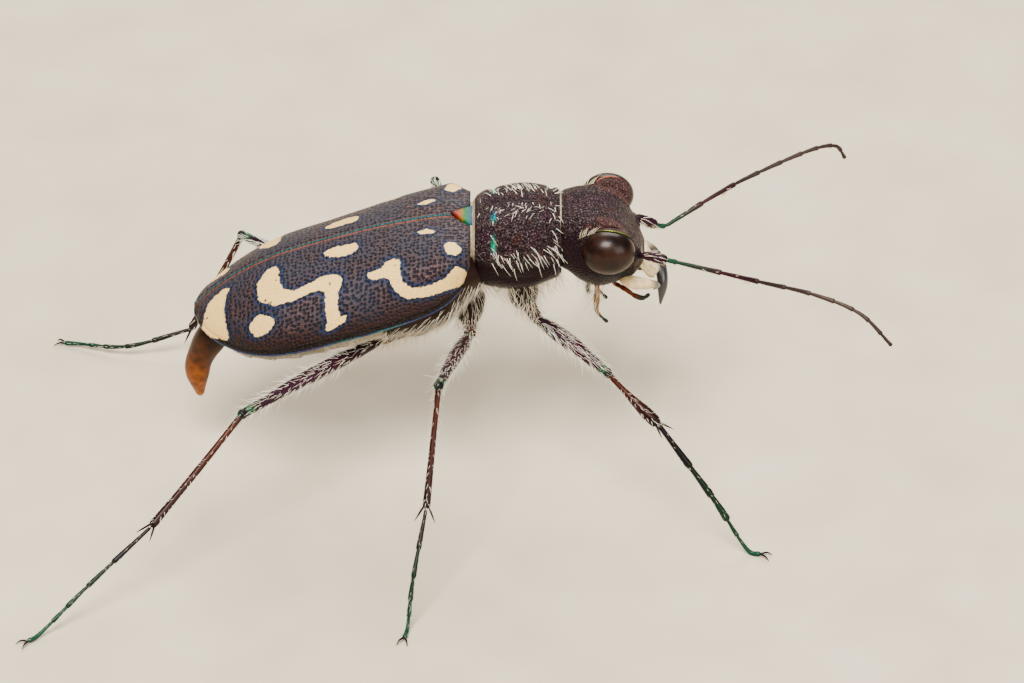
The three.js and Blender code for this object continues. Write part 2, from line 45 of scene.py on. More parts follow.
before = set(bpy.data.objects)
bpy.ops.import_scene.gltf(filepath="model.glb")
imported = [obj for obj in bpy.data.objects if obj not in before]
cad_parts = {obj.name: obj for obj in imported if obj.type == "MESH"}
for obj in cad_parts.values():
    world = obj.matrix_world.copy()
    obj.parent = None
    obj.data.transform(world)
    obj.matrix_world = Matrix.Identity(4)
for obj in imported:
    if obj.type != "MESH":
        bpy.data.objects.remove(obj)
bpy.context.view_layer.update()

# Lengths below are in millimetres, in the animal's own frame: x = 0 at the base of the wing
# cases, +X to the head, +Y to its left, z = 0 at the floor. OFFSET takes them to the frame.
MM = 0.001
BODY = "root"
CASE_BASE = -0.12
SCUTELLUM_LOW, SCUTELLUM_HIGH = (np.array(corner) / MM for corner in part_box("scutellum"))
OFFSET = np.array([
    SCUTELLUM_HIGH[0] - CASE_BASE,
    (SCUTELLUM_LOW[1] + SCUTELLUM_HIGH[1]) / 2,
    0.0,
])
SIDES = {"right": -1, "left": 1}

# Wing cases
CASE_TIP = -8.02
CASE_TOP = [(-8, 5.04), (-7.5, 5.54), (-6.8, 6.1), (-5.7, 6.74), (-4.8, 7.09), (-3.8, 7.42),
            (-2.7, 7.75), (-1.6, 8.0), (-0.6, 8.17), (-0.1, 8.14)]
CASE_RIM = [(-8, 4.86), (-7.5, 4.66), (-6.5, 4.66), (-5.3, 4.95), (-3.8, 5.42), (-2.1, 5.96),
            (-0.9, 6.45), (-0.1, 7.0)]
CASE_HALF = [(-8, 0.28), (-7.85, 0.72), (-7.5, 1.18), (-6.9, 1.68), (-6.2, 2.12), (-5.3, 2.42),
             (-3.8, 2.5), (-1.7, 2.42), (-0.7, 2.25), (-0.1, 1.85)]
CASE_SQUARE = [(-8, 2.1), (-5.2, 1.98), (-3.8, 2.08), (-2.8, 2.35), (-1.7, 3), (-0.5, 3.8)]
CASE_WALL = 0.1
CASE_LIP = 0.05
# Millimetres to the unit of the unrolled map
UNROLLED = 10.0
SCUTELLUM_LENGTH = 0.5
SCUTELLUM_HALF = 0.52
# How far the scutellum runs on under the prothorax
SCUTELLUM_TUCK = 0.14

# Cream markings of one wing case as strokes of (x, distance from the suture, half width)
MARKS = [
    [(-0.36, 2.4, 0.24), (-0.66, 2.67, 0.19), (-1.22, 2.8, 0.165), (-1.76, 2.72, 0.16),
     (-2.08, 2.45, 0.15), (-2.2, 2.12, 0.17), (-2.3, 1.84, 0.28)],
    [(-2.4, 1.88, 0.15), (-2.72, 1.92, 0.14), (-2.9, 1.86, 0.08)],
    [(-0.6, 1.48, 0.19), (-0.54, 1.6, 0.23)],
    [(-1.5, 0.73, 0.06), (-1.3, 0.76, 0.12), (-1.14, 0.8, 0.07)],
    [(-4.1, 0.68, 0.13), (-3.92, 0.71, 0.2), (-3.6, 0.77, 0.21), (-3.46, 0.75, 0.2)],
    [(-4.06, 3.0, 0.13), (-3.68, 2.9, 0.11)],
    [(-3.92, 2.9, 0.2), (-4.0, 2.5, 0.17), (-4.0, 2.1, 0.19), (-3.95, 1.78, 0.25),
     (-4.25, 1.68, 0.23), (-4.6, 1.7, 0.15), (-5.1, 1.79, 0.15), (-5.55, 1.66, 0.24),
     (-5.8, 1.34, 0.33), (-5.84, 1.0, 0.31), (-5.76, 0.8, 0.24)],
    [(-6.12, 2.16, 0.24), (-6.0, 2.3, 0.27), (-5.88, 2.34, 0.22)],
    [(-7.16, 0.56, 0.17), (-7.36, 0.74, 0.3), (-7.44, 1.1, 0.34), (-7.32, 1.5, 0.24),
     (-7.04, 2.02, 0.07)],
]
# Dark pores in the markings, (x, distance from the suture)
MARK_PORES = [(-5.92, 1.6), (-5.75, 1.74), (-5.6, 1.1), (-4.04, 1.76), (-7.6, 0.95),
              (-2.2, 1.8), (-0.4, 2.48)]
MARK_PORE_HALF = 0.035

# Prothorax
PRO_TOP = [(-0.03, 8.14), (0.12, 8.34), (0.36, 8.54), (1.3, 8.72), (2.05, 8.7), (2.5, 8.62)]
PRO_HALF = [(0.02, 1.36), (0.36, 1.46), (1.1, 1.6), (1.7, 1.62), (2.2, 1.5), (2.5, 1.42)]
PRO_MIDDLE = [(0.0, 7.4), (2.5, 7.45)]
PRO_BOTTOM = [(0.0, 6.15), (1.3, 6.0), (2.5, 6.45)]
PRO_REAR = 0.05
PRO_FRONT = 2.5
PRO_POWER = 2.3
PRO_REAR_GROOVE = 0.55
PRO_FRONT_GROOVE = 2.18
# Joint skin: rear end, front end, share of the prothorax's girth, height above which it is pale
COLLARS = {"rear": (-0.12, 0.14, 0.95, 7.3), "front": (2.3, 2.54, 0.93, 8.15)}

# Trunk
TRUNK_FRONT = 0.5
TRUNK_BACK = -7.35
BELLY_DEPTH = [(-7.4, 0.35), (-6.5, 0.62), (-5.3, 0.85), (-3.8, 0.95), (-2.3, 1.1), (-1.3, 1.45),
               (-0.6, 1.5), (-0.1, 1.35)]
BELLY_INSET = 0.14
# Rear edges of the belly rings
BELLY_RINGS = [-2.35, -3.3, -4.1, -4.85, -5.6, -6.3]
FLANK_START = -2.45
# The trunk is widest this far under the wing case's rim
SEAM_DROP = 0.06
TAIL = [(-7.1, 0, 4.5), (-7.5, 0, 3.95), (-7.8, 0, 3.4), (-7.98, 0, 2.8), (-7.92, 0, 1.8)]
TAIL_HALF = [0.5, 0.5, 0.45, 0.36, 0.1]

# Head
HEAD_TOP = [(2.3, 8.4), (2.6, 8.56), (3.1, 8.66), (3.7, 8.56), (4.2, 8.28), (4.6, 7.8), (4.9, 7.2)]
HEAD_HALF = [(2.3, 1.26), (2.6, 1.3), (3.0, 1.38), (3.6, 1.42), (4.2, 1.3), (4.6, 1.08), (4.9, 0.8)]
HEAD_MIDDLE = [(2.3, 7.5), (3.6, 7.6), (4.3, 7.4), (4.9, 6.95)]
HEAD_BOTTOM = [(2.3, 6.95), (2.7, 6.7), (3.1, 6.3), (3.6, 6.08), (4.2, 6.26), (4.9, 6.6)]
HEAD_BACK = 2.42
HEAD_LENGTH = 2.5
HEAD_POWER = 2.6
EYE_CENTRE = np.array([3.87, 1.47, 7.82])
EYE_HALF = np.array([0.76, 0.58, 0.66])
# A brow covers the part of the eye that faces its axis by more than LID_EDGE (a cosine)
LID_EDGE = 0.69
LID_BLEND = 0.13
LID_LEVEL = 1.03
HUMP = (4.04, 0.84)
HUMP_HALF = (0.58, 0.21)
HUMP_HEIGHT = 0.09
FEELER_SOCKET = (4.74, 0.9, 7.38)
LABRUM_BASE = (4.84, 0.0, 6.9)
LABRUM_LENGTH = 0.84
LABRUM_HALF = 0.7
LABRUM_SLOPE = 1.0
LABRUM_PORES = [(0.2, 0.55), (0.45, 0.75), (-0.2, 0.55), (-0.45, 0.75), (0.0, 0.35), (0.6, 0.45),
                (-0.6, 0.45)]

# Mouthparts and feelers: paths and half thicknesses
MANDIBLES = {
    "right": ([(4.2, -0.92, 6.6), (4.6, -1.0, 6.46), (5.0, -0.86, 6.32), (5.28, -0.46, 6.0),
               (5.2, -0.1, 5.6)], [0.2, 0.23, 0.16, 0.1, 0.02]),
    "left": ([(4.2, 0.92, 6.5), (4.7, 1.0, 6.4), (5.12, 0.84, 6.26), (5.38, 0.48, 6.04),
              (5.46, 0.16, 5.66), (5.4, 0, 5.0)], [0.2, 0.25, 0.24, 0.19, 0.15, 0.025]),
}
# How much sooner than its length says a mandible turns black
MANDIBLE_DARK = {"right": 0.1, "left": 0.22}
# Inner teeth: share of the mandible's length, reach inwards
MANDIBLE_TEETH = ((0.62, 0.2), (0.74, 0.16))
# Palps of the right side, each with its finish and its slot
PALPS = {
    "maxillary_palp": ([(4.0, -0.6, 6.2), (4.4, -0.7, 6.0), (4.62, -0.74, 5.84),
                        (4.88, -0.76, 5.76), (5.08, -0.7, 5.86)],
                       [0.06, 0.075, 0.07, 0.08, 0.05], "palp", "feeler"),
    "labial_palp": ([(3.58, -0.46, 6.1), (3.56, -0.6, 5.6), (3.56, -0.62, 5.26),
                     (3.66, -0.62, 5.05), (3.88, -0.6, 4.8)],
                    [0.06, 0.085, 0.09, 0.045, 0.06], "lip_palp", "lip_palp"),
}
LABRUM_PORE_HALF = 0.035
PALP_JOINTS = (0.3, 0.52, 0.76)
FEELERS = {
    "right": [(4.74, -0.9, 7.37), (5.53, -1.18, 7.36), (6.98, -1.8, 7.37), (8.14, -2.56, 7.55),
              (9.65, -3.6, 7.82), (10.91, -4.16, 7.56), (11.8, -4.72, 6.85)],
    "left": [(4.67, 0.9, 7.46), (5.45, 1.18, 6.93), (5.82, 1.32, 7.04), (6.8, 1.8, 7.45),
             (7.86, 2.56, 7.64), (9.71, 3.7, 7.85), (10.52, 4.2, 7.7), (10.84, 4.5, 7.08)],
}
FEELER_KNOTS = [0.0, 0.1, 0.135, 0.3, 0.45, 0.56, 0.66, 0.75, 0.82, 0.885, 0.945, 1.0]
FEELER_HALF = [0.14, 0.085, 0.08, 0.08, 0.075, 0.075, 0.075, 0.072, 0.07, 0.068, 0.06]

# Legs: joints from the hip to the toe
LEGS = {
    "fore_right": [(1.45, -0.78, 5.86), (1.85, -1.2, 5.33), (3.84, -2.9, 4.64),
                   (5.31, -3.9, 3.53), (6.88, -4.95, 1.68), (8.24, -5.42, 0.08)],
    "fore_left": [(1.45, 0.78, 5.86), (1.8, 1.22, 5.36), (2.7, 3.7, 5.5), (3.2, 5.1, 4.1),
                  (3.42, 6.9, 1.9), (3.42, 8.24, 0.08)],
    "middle_right": [(-0.1, -0.9, 5.2), (-0.07, -1.5, 5.01), (-0.94, -4.75, 5.5),
                     (-1.29, -6.9, 2.77), (-1.66, -8.25, 1.25), (-1.9, -9.35, 0.08)],
    "middle_left": [(-0.1, 0.9, 5.2), (-0.07, 1.5, 5.01), (-1.12, 5.05, 5.9), (-1.4, 7.2, 3.1),
                    (-1.72, 8.65, 1.5), (-1.95, 9.7, 0.08)],
    "hind_right": [(-1.7, -0.72, 4.75), (-2.6, -1.02, 4.5), (-6.51, -4.4, 4.27),
                   (-9.06, -6.9, 2.14), (-10.9, -8.3, 1.0), (-12.48, -9.5, 0.08)],
    "hind_left": [(-1.7, 0.72, 4.75), (-2.6, 1.02, 4.5), (-6.8, 4.45, 4.4), (-8.4, 4.7, 0.86),
                  (-10.3, 4.55, 0.34), (-12.2, 5.1, 0.08)],
}
# Half thicknesses of a pair's coxa (an egg, or a limb in the middle pair), femur, tibia and foot
LEG_HALF = {
    "fore": ((0.44, 0.42, 0.5), (0.13, 0.23, 0.24, 0.19, 0.14), (0.09, 0.08, 0.12, 0.18, 0.17),
             (0.12, 0.12, 0.125, 0.075, 0.08)),
    "middle": ((0.42, 0.4, 0.34), (0.12, 0.2, 0.21, 0.17, 0.13), (0.09, 0.08, 0.09, 0.1, 0.12),
               (0.085, 0.085, 0.085, 0.08, 0.075)),
    "hind": ((0.62, 0.5, 0.3), (0.13, 0.22, 0.23, 0.17, 0.14), (0.09, 0.09, 0.1, 0.1, 0.13),
             (0.085, 0.08, 0.08, 0.075, 0.075)),
}
TARSOMERES = [0, 0.3, 0.51, 0.68, 0.8, 1]

# Camera: what the photograph was taken with, as far as it shows
CAMERA_TARGET = (1.13, 0.0, 3.7)
CAMERA_ELEVATION = 35.0
CAMERA_DISTANCE = 200.0
PIXELS_PER_MM = 34.6
PICTURE_WIDTH = 1024
SENSOR_WIDTH = 36.0
# Lamps: name, place and size in metres, share of the power
LAMPS = (("key", (-0.03, -0.1, 0.2), 0.1, 1.0), ("fill", (0.14, -0.14, 0.1), 0.12, 0.25),
         ("back", (0.02, 0.16, 0.14), 0.14, 0.45))

# Points along a smooth path, and how upright a limb is when it is hung from X instead of Z
PATH_STEPS = 120
STEEP = 0.8


# Colours and nodes

def colour(text):
    """An sRGB hex colour as linear red, green, blue and alpha."""
    parts = [int(text[i:i + 2], 16) / 255 for i in (1, 3, 5)]
    return (*(c / 12.92 if c <= 0.04045 else ((c + 0.055) / 1.055) ** 2.4 for c in parts), 1.0)


def add(tree, kind, inputs=None, stops=None, **settings):
    """Adds a node, with its settings, its input values or links, and a ramp's stops."""
    node = tree.nodes.new(kind)
    for key, value in settings.items():
        setattr(node, key, value)
    for key, value in (inputs or {}).items():
        if isinstance(value, bpy.types.NodeSocket):
            tree.links.new(value, node.inputs[key])
        else:
            node.inputs[key].default_value = value
    if stops:
        ramp = node.color_ramp
        while len(ramp.elements) < len(stops):
            ramp.elements.new(0.5)
        for element, (position, text) in zip(ramp.elements, stops):
            element.position = position
            element.color = colour(text)
    return node


def material(name, **values):
    """A new material with the principled shader's plain values set on its own sockets."""
    made = bpy.data.materials.new(name)
    made.use_nodes = True
    shader = made.node_tree.nodes["Principled BSDF"]
    for key, value in values.items():
        shader.inputs[key.replace("_", " ")].default_value = value
    return made, made.node_tree, shader


def per_metre(size):
    """The texture scale that gives a pattern of this size in millimetres."""
    return 1.0 / (size * MM)


def place_of(tree):
    """The piece's own coordinates, in metres."""
    return add(tree, "ShaderNodeTexCoord").outputs["Object"]


def attribute(tree, name):
    """The value that the piece's vertices carry under this name."""
    return add(tree, "ShaderNodeAttribute", attribute_name=name).outputs["Fac"]


def noise(tree, size, detail=2.0):
    """Soft noise of this size in millimetres."""
    return add(tree, "ShaderNodeTexNoise", {"Vector": place_of(tree), "Scale": per_metre(size),
                                            "Detail": detail}).outputs["Fac"]


def cells(tree, place, scale, randomness, **settings):
    """Distance from the middle of the nearest cell."""
    values = {"Vector": place, "Scale": scale, "Randomness": randomness}
    return add(tree, "ShaderNodeTexVoronoi", values, **settings).outputs["Distance"]


def ranged(tree, value, start=0.0, end=1.0, low=0.0, high=1.0, kind="LINEAR"):
    """Goes from low to high while a value goes from start to end."""
    return add(tree, "ShaderNodeMapRange", {"Value": value, "From Min": start, "From Max": end,
                                            "To Min": low, "To Max": high},
               interpolation_type=kind).outputs["Result"]


def rising(tree, value, start, end):
    """Goes smoothly from 0 to 1 while a value goes from start to end."""
    return ranged(tree, value, start, end, kind="SMOOTHSTEP")


def ramp(tree, value, stops):
    """A colour that follows a value."""
    return add(tree, "ShaderNodeValToRGB", {"Fac": value}, stops=stops).outputs["Color"]


def mixed(tree, share, first, second):
    """A share of the second colour, given as a socket or as a hex text, over the first."""
    second = colour(second) if isinstance(second, str) else second
    return add(tree, "ShaderNodeMix", {0: share, 6: first, 7: second}, data_type="RGBA").outputs[2]


def shaded(tree, hue, shade):
    """A colour made darker or lighter."""
    return add(tree, "ShaderNodeHueSaturation", {"Color": hue, "Value": shade}).outputs["Color"]


def maths(tree, kind, *values):
    """Arithmetic on sockets and numbers."""
    return add(tree, "ShaderNodeMath", dict(enumerate(values)), operation=kind).outputs[0]


def relief(tree, height, strength, depth, **settings):
    """A bump of this depth in millimetres."""
    return add(tree, "ShaderNodeBump", {"Height": height, "Strength": strength,
                                        "Distance": depth * MM}, **settings).outputs["Normal"]


def wire(tree, shader, **sockets):
    """Links outputs to the shader's own sockets."""
    for key, value in sockets.items():
        tree.links.new(value, shader.inputs[key.replace("_", " ")])


# Curves and grids

def profile(pairs):
    """A smooth curve through (x, value) pairs, level past its ends."""
    table = np.array(sorted(pairs), float)
    xs, ys = table[:, 0], table[:, 1]
    last = len(xs) - 1
    after = np.minimum(np.arange(last + 1) + 1, last)
    before = np.maximum(np.arange(last + 1) - 1, 0)
    slopes = (ys[after] - ys[before]) / (xs[after] - xs[before])

    def value(x):
        x = np.clip(np.asarray(x, float), xs[0], xs[-1])
        i = np.clip(np.searchsorted(xs, x) - 1, 0, last - 1)
        span = xs[i + 1] - xs[i]
        t = (x - xs[i]) / span
        t2 = t * t
        t3 = t2 * t
        return ((2 * t3 - 3 * t2 + 1) * ys[i] + (t3 - 2 * t2 + t) * span * slopes[i]
                + (3 * t2 - 2 * t3) * ys[i + 1] + (t3 - t2) * span * slopes[i + 1])

    return value


def squared(value, power):
    """A sine or cosine bent towards a square of the given power."""
    return np.sign(value) * np.abs(value) ** (2 / power)


def bump(x, centre, width):
    """A smooth hill of height one."""
    return np.exp(-((x - centre) / width) ** 2)


def travelled(path):
    """Distance along a path to each of its points."""
    return np.concatenate([[0], np.cumsum(np.linalg.norm(np.diff(path, axis=0), axis=1))])


def smooth_path(points, count):
    """Points at even steps along a smooth curve through the given ones."""
    p = np.array(points, float)
    if len(p) == 2:
        return p[0] + (p[1] - p[0]) * np.linspace(0, 1, count)[:, None]
    knots = np.concatenate([[0], np.cumsum(np.linalg.norm(np.diff(p, axis=0), axis=1) ** 0.5)])
    fine = np.linspace(0, knots[-1], 2 * PATH_STEPS)
    dense = np.stack([profile(list(zip(knots, p[:, k])))(fine) for k in range(3)], axis=1)
    lengths = travelled(dense)
    even = np.linspace(0, lengths[-1], count)
    return np.stack([np.interp(even, lengths, dense[:, k]) for k in range(3)], axis=1)


def stretch(path, low, high, count=9):
    """Even points along the part of a path between two shares of its length."""
    spots = np.clip(np.linspace(low, high, count), 0, 1) * (len(path) - 1)
    return np.stack([np.interp(spots, np.arange(len(path)), path[:, k]) for k in range(3)], axis=1)


def unit(vectors):
    """Vectors scaled to length one."""
    vectors = np.asarray(vectors, float)
    return vectors / np.maximum(np.linalg.norm(vectors, axis=-1, keepdims=True), 1e-12)


def around(sides):
    """Even angles once round."""
    return np.arange(sides) * 2 * math.pi / sides


def dense_ends(count):
    """Shares from 0 to 1 that crowd towards both ends."""
    return (1 - np.cos(np.linspace(0, math.pi, count))) / 2


def limb(points, half, count=18, sides=16, flat=1.0):
    """Rings of points round a smooth path, crowded and rounded off at both ends."""
    even = smooth_path(points, PATH_STEPS)
    spots = dense_ends(count)
    path = np.stack([np.interp(spots, np.linspace(0, 1, PATH_STEPS), even[:, k]) for k in range(3)],
                    axis=1)
    radii = profile(list(zip(np.linspace(0, 1, len(half)), half)))(spots)
    arc = travelled(path)
    for distance in (arc, arc[-1] - arc):
        near = np.clip(distance / np.maximum(radii, 1e-6), 0, 1)
        radii = radii * np.sqrt(np.maximum(1 - (1 - near) ** 2, 0.0))
    chord = unit(path[-1] - path[0])
    side = np.cross(chord, [1.0, 0, 0] if abs(chord[2]) > STEEP else [0, 0, 1.0])
    cos, sin = np.cos(around(sides))[:, None], np.sin(around(sides))[:, None]
    rings = []
    for centre, tangent, radius in zip(path, unit(np.gradient(path, axis=0)), radii):
        side = unit(side - tangent * side.dot(tangent))
        rings.append(centre + radius * (cos * side + flat * sin * np.cross(side, tangent)))
    return np.array(rings)


def swollen(rings, share):
    """Rings made wider or narrower round their own middles."""
    centre = rings.mean(axis=1, keepdims=True)
    return centre + (rings - centre) * share[:, None, None]


def oval(x, angle, shape, power, scale):
    """Squared ovals at each x. shape gives their half width, top, middle and bottom."""
    half, top, middle, bottom = (curve(x) for curve in shape)
    height = np.where(np.sin(angle) > 0, top - middle, middle - bottom)
    y = half * scale * squared(np.cos(angle), power)
    z = middle + height * scale * squared(np.sin(angle), power)
    return np.stack([np.broadcast_to(x, y.shape), y, z], axis=-1)


def egg(centre, half, rings=20, sides=24):
    """An egg shape as rings of points along X."""
    t = np.linspace(0, math.pi, rings)[:, None]
    a = around(sides)[None]
    x = np.broadcast_to(-np.cos(t), (rings, sides))
    return np.array(centre) + np.stack([x * half[0], np.sin(t) * np.cos(a) * half[1],
                                        np.sin(t) * np.sin(a) * half[2]], axis=-1)


def mirrored(point, side):
    """A place or places on the left, taken to the given side."""
    return np.array(point) * np.array([1, side, 1])


def metres(points):
    """Millimetres in the animal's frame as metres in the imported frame."""
    return ((np.asarray(points, float) + OFFSET) * MM).astype(np.float32)


def sheet(name, points, attributes=None):
    """A grid primitive whose rows and columns are moved to the given points."""
    rows, columns = points.shape[:2]
    bpy.ops.object.select_all(action="DESELECT")
    bpy.ops.mesh.primitive_grid_add(x_subdivisions=columns - 1, y_subdivisions=rows - 1, size=1)
    piece = bpy.context.object
    piece.name = name
    piece.data.name = name
    piece.data.vertices.foreach_set("co", metres(points).reshape(-1))
    for key, values in (attributes or {}).items():
        layer = piece.data.attributes.new(key, "FLOAT", "POINT")
        values = np.broadcast_to(values, (rows, columns)).astype(np.float32)
        layer.data.foreach_set("value", values.reshape(-1))
    piece.data.update()
    return piece


def sealed(piece):
    """Merges a sheet's seam and poles and turns its faces outwards."""
    bpy.ops.object.select_all(action="DESELECT")
    bpy.context.view_layer.objects.active = piece
    piece.select_set(True)
    bpy.ops.object.mode_set(mode="EDIT")
    bpy.ops.mesh.select_all(action="SELECT")
    bpy.ops.mesh.remove_doubles(threshold=1e-7)
    bpy.ops.mesh.normals_make_consistent(inside=False)
    bpy.ops.object.mode_set(mode="OBJECT")
    bpy.ops.object.shade_smooth()
    return piece


def skin(name, rings, attributes=None):
    """A closed skin from rings of points: a sheet wrapped round, drawn together at both ends."""
    first = np.broadcast_to(rings[:1].mean(axis=1, keepdims=True), rings[:1].shape)
    last = np.broadcast_to(rings[-1:].mean(axis=1, keepdims=True), rings[-1:].shape)
    points = np.concatenate([first, rings, last])
    points = np.concatenate([points, points[:, :1]], axis=1)
    filled = {}
    for key, values in (attributes or {}).items():
        values = np.broadcast_to(values, rings.shape[:2])
        values = np.concatenate([values[:1], values, values[-1:]])
        filled[key] = np.concatenate([values, values[:, :1]], axis=1)
    return sealed(sheet(name, points, filled))


def graded(name, rings, low, high):
    """A skin with the attribute station, which colours it from its first ring to its last."""
    return skin(name, rings, {"station": np.linspace(low, high, len(rings))[:, None]})


def joined(name, parts):
    """Several pieces made one object, with its place in its mesh."""
    bpy.ops.object.select_all(action="DESELECT")
    for part in parts:
        part.select_set(True)
    bpy.context.view_layer.objects.active = parts[0]
    if len(parts) > 1:
        bpy.ops.object.join()
    piece = bpy.context.object
    piece.name = name
    piece.data.name = name
    return piece


def finished(piece, made, slot, *nodes):
    """Gives a piece its material and its place in the frame."""
    piece.data.materials.clear()
    piece.data.materials.append(made)
    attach(piece, BODY)
    if nodes:
        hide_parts(*nodes)
    return piece


# Hairs

HAIR_PATCH = 0.003
HAIR_SUNK = 0.02
BROW_BRISTLES = 8


def scattered(rings, weight, count, rng):
    """Random spots on a grid of points: place, outward normal, direction along it, and uv."""
    rows, columns = rings.shape[:2]
    along = np.gradient(rings, axis=0)
    across = (np.roll(rings, -1, axis=1) - np.roll(rings, 1, axis=1)) / 2
    normals = np.cross(along, across)
    area = np.linalg.norm(normals, axis=-1)
    centre = rings.mean(axis=1, keepdims=True)
    outward = (normals * (rings - centre)).sum(axis=-1, keepdims=True)
    outward = np.sign(outward.sum(axis=1, keepdims=True))
    normals = unit(normals) * outward
    chance = (np.broadcast_to(weight, (rows, columns)) * area).reshape(-1)
    even = (np.arange(count) + rng.uniform(0, 1, count)) / count
    picked = np.searchsorted(np.cumsum(chance) / chance.sum(), even * 0.999999)
    row, column = np.divmod(picked, columns)
    shift = rng.uniform(-0.5, 0.5, (count, 2))
    places = (rings[row, column] + shift[:, :1] * along[row, column]
              + shift[:, 1:] * across[row, column])
    uv = np.stack([(column + 0.5 + shift[:, 1]) / columns,
                   (row + 0.5 + shift[:, 0]) / rows], axis=1)
    return places, normals[row, column], unit(along[row, column]), np.clip(uv, 0, 1)


def hairs(name, groups, made, thickness, rings=4):
    """One mesh of tapered, bent, three-sided hairs from groups that tufts returns."""
    roots, ways, bends, lengths, uvs = (np.concatenate([g[k] for g in groups]) for k in range(5))
    count = len(roots)
    t = np.linspace(0, 1, rings)
    step = lengths[:, None, None]
    ways = unit(ways)
    share = t[None, :, None]
    centres = roots[:, None] + step * (ways[:, None] * share + bends[:, None] * share ** 2)
    tangents = unit(ways[:, None] + 2 * bends[:, None] * share)
    side = unit(np.cross(tangents, np.array([0.31, 0.57, 0.76])))
    over = np.cross(side, tangents)
    corner = around(3)
    radius = thickness * np.maximum(1 - t, 0.06) ** 0.55
    offset = (np.cos(corner)[:, None] * side[:, :, None]
              + np.sin(corner)[:, None] * over[:, :, None])
    points = centres[:, :, None] + offset * radius[None, :, None, None]
    faces = []
    for first in range(0, (rings - 1) * 3, 3):
        for k, after in ((0, 1), (1, 2), (2, 0)):
            faces.append((first + k, first + after, first + 3 + after, first + 3 + k))
    starts = (np.arange(count) * rings * 3)[:, None, None]
    quads = np.array(faces)[None] + starts
    last = (rings - 1) * 3
    caps = np.array([(2, 1, 0), (last, last + 1, last + 2)])[None] + starts
    mesh = bpy.data.meshes.new(name)
    mesh.from_pydata(metres(points).reshape(-1, 3).tolist(), [],
                     quads.reshape(-1, 4).tolist() + caps.reshape(-1, 3).tolist())
    patch = np.zeros((count, rings, 3, 2))
    patch[..., 0] = uvs[:, None, None, 0] + (np.arange(3)[None, None] / 2 - 0.5) * HAIR_PATCH
    patch[..., 1] = uvs[:, None, None, 1] + (t[None, :, None] - 0.5) * HAIR_PATCH
    corners = np.empty(len(mesh.loops), np.int32)
    mesh.loops.foreach_get("vertex_index", corners)
    layer = mesh.uv_layers.new(name="OFBake")
    patch = np.clip(patch, 0, 1).reshape(-1, 2)[corners]
    layer.data.foreach_set("uv", patch.astype(np.float32).reshape(-1))
    piece = bpy.data.objects.new(name, mesh)
    bpy.context.scene.collection.objects.link(piece)
    return finished(piece, made, "leg")


def tufts(rings, weight, count, rng, length, lean, rise, bend=(0, 0, 0), spread=0.25):
    """A group of hairs on a grid: they lean along a direction and rise off the surface."""
    places, normals, along, uv = scattered(rings, weight, count, rng)
    if np.isscalar(lean):
        lean = along * lean
    lean = np.broadcast_to(np.array(lean, float), normals.shape)
    ways = unit(lean - normals * (lean * normals).sum(axis=1, keepdims=True))
    ways = ways + rise * normals + rng.normal(0, spread, normals.shape)
    lengths = length * rng.uniform(0.7, 1.15, count)
    bends = np.array(bend) + rng.normal(0, 0.06, normals.shape) - 0.15 * rise * normals
    return places - HAIR_SUNK * normals, ways, bends, lengths, uv


# Materials

def wing_case_cuticle(settings):
    """Beetle cuticle, hardened and micro-pitted: satin bronze, deep blue pits, cream windows."""
    made, tree, shader = material("pitted_bronze_cuticle", IOR=1.45, Specular_IOR_Level=0.3)
    rim, suture = attribute(tree, "rim"), attribute(tree, "suture")
    wobble = maths(tree, "SUBTRACT", noise(tree, 0.1), 0.5)
    edge = maths(tree, "MULTIPLY_ADD", wobble, 0.13, attribute(tree, "mark"))
    cream = rising(tree, edge, 0.014, -0.014)
    halo = maths(tree, "MULTIPLY", rising(tree, edge, 0.2, 0.02), 0.9)
    grain, cloud = noise(tree, 0.035, 3.0), noise(tree, 0.9, 3.0)
    # Pits in loose rows on the unrolled case, whose map has 10 mm to the unit
    flat = add(tree, "ShaderNodeUVMap", uv_map="Unrolled").outputs["UV"]
    pit = rising(tree, cells(tree, flat, UNROLLED / settings.pit_spacing, 0.62,
                             voronoi_dimensions="2D"), 0.46, 0.16)
    hue = ramp(tree, grain, [(0.3, "#140a0a"), (0.46, "#2a1b1c"), (0.58, "#473230"),
                             (0.72, "#7a5a5a")])
    hue = mixed(tree, ranged(tree, cloud, 0.36, 0.56), hue, "#332c35")
    hue = mixed(tree, rising(tree, rim, 0.95, 0.25), hue, "#240b06")
    hue = mixed(tree, halo, hue, "#0a2244")
    gleam = ramp(tree, cloud, [(0.35, "#060a22"), (0.5, "#080a14"), (0.62, "#06142a"),
                               (0.75, "#042220")])
    hue = mixed(tree, pit, hue, gleam)
    # Dark band above the rim, then the bright blue-violet rim line
    hue = mixed(tree, rising(tree, rim, 0.3, 0.12), hue, "#100808")
    line = ramp(tree, cloud, [(0.35, "#185860"), (0.5, "#1e335c"), (0.62, "#32295c"),
                              (0.75, "#205874")])
    hue = mixed(tree, rising(tree, rim, 0.035, 0.018), hue, line)
    # Teal and copper lines along the suture
    seam = ramp(tree, ranged(tree, suture, 0.0, 0.2), [
        (0.0, "#0a1416"), (0.14, "#1d5a60"), (0.28, "#101418"), (0.42, "#74423a"),
        (0.6, "#4a302c"), (0.85, "#33241f")])
    hue = mixed(tree, rising(tree, suture, 0.16, 0.11), hue, seam)
    # Cream windows, faintly mottled and almost smooth
    mottle = ramp(tree, grain, [(0.3, "#cca055"), (0.5, "#dcb76e"), (0.7, "#e8ca88")])
    hue = mixed(tree, cream, hue, mottle)
    depth = maths(tree, "MULTIPLY_ADD", grain, 0.45, maths(tree, "MULTIPLY", pit, -1.0))
    height = maths(tree, "MULTIPLY", depth, ranged(tree, cream, low=1.0, high=0.12))
    wire(tree, shader, Base_Color=hue, Metallic=ranged(tree, cream, low=0.3, high=0.0),
         Roughness=ranged(tree, grain, low=0.36, high=0.56),
         Normal=relief(tree, height, 0.9, 0.045))
    return made


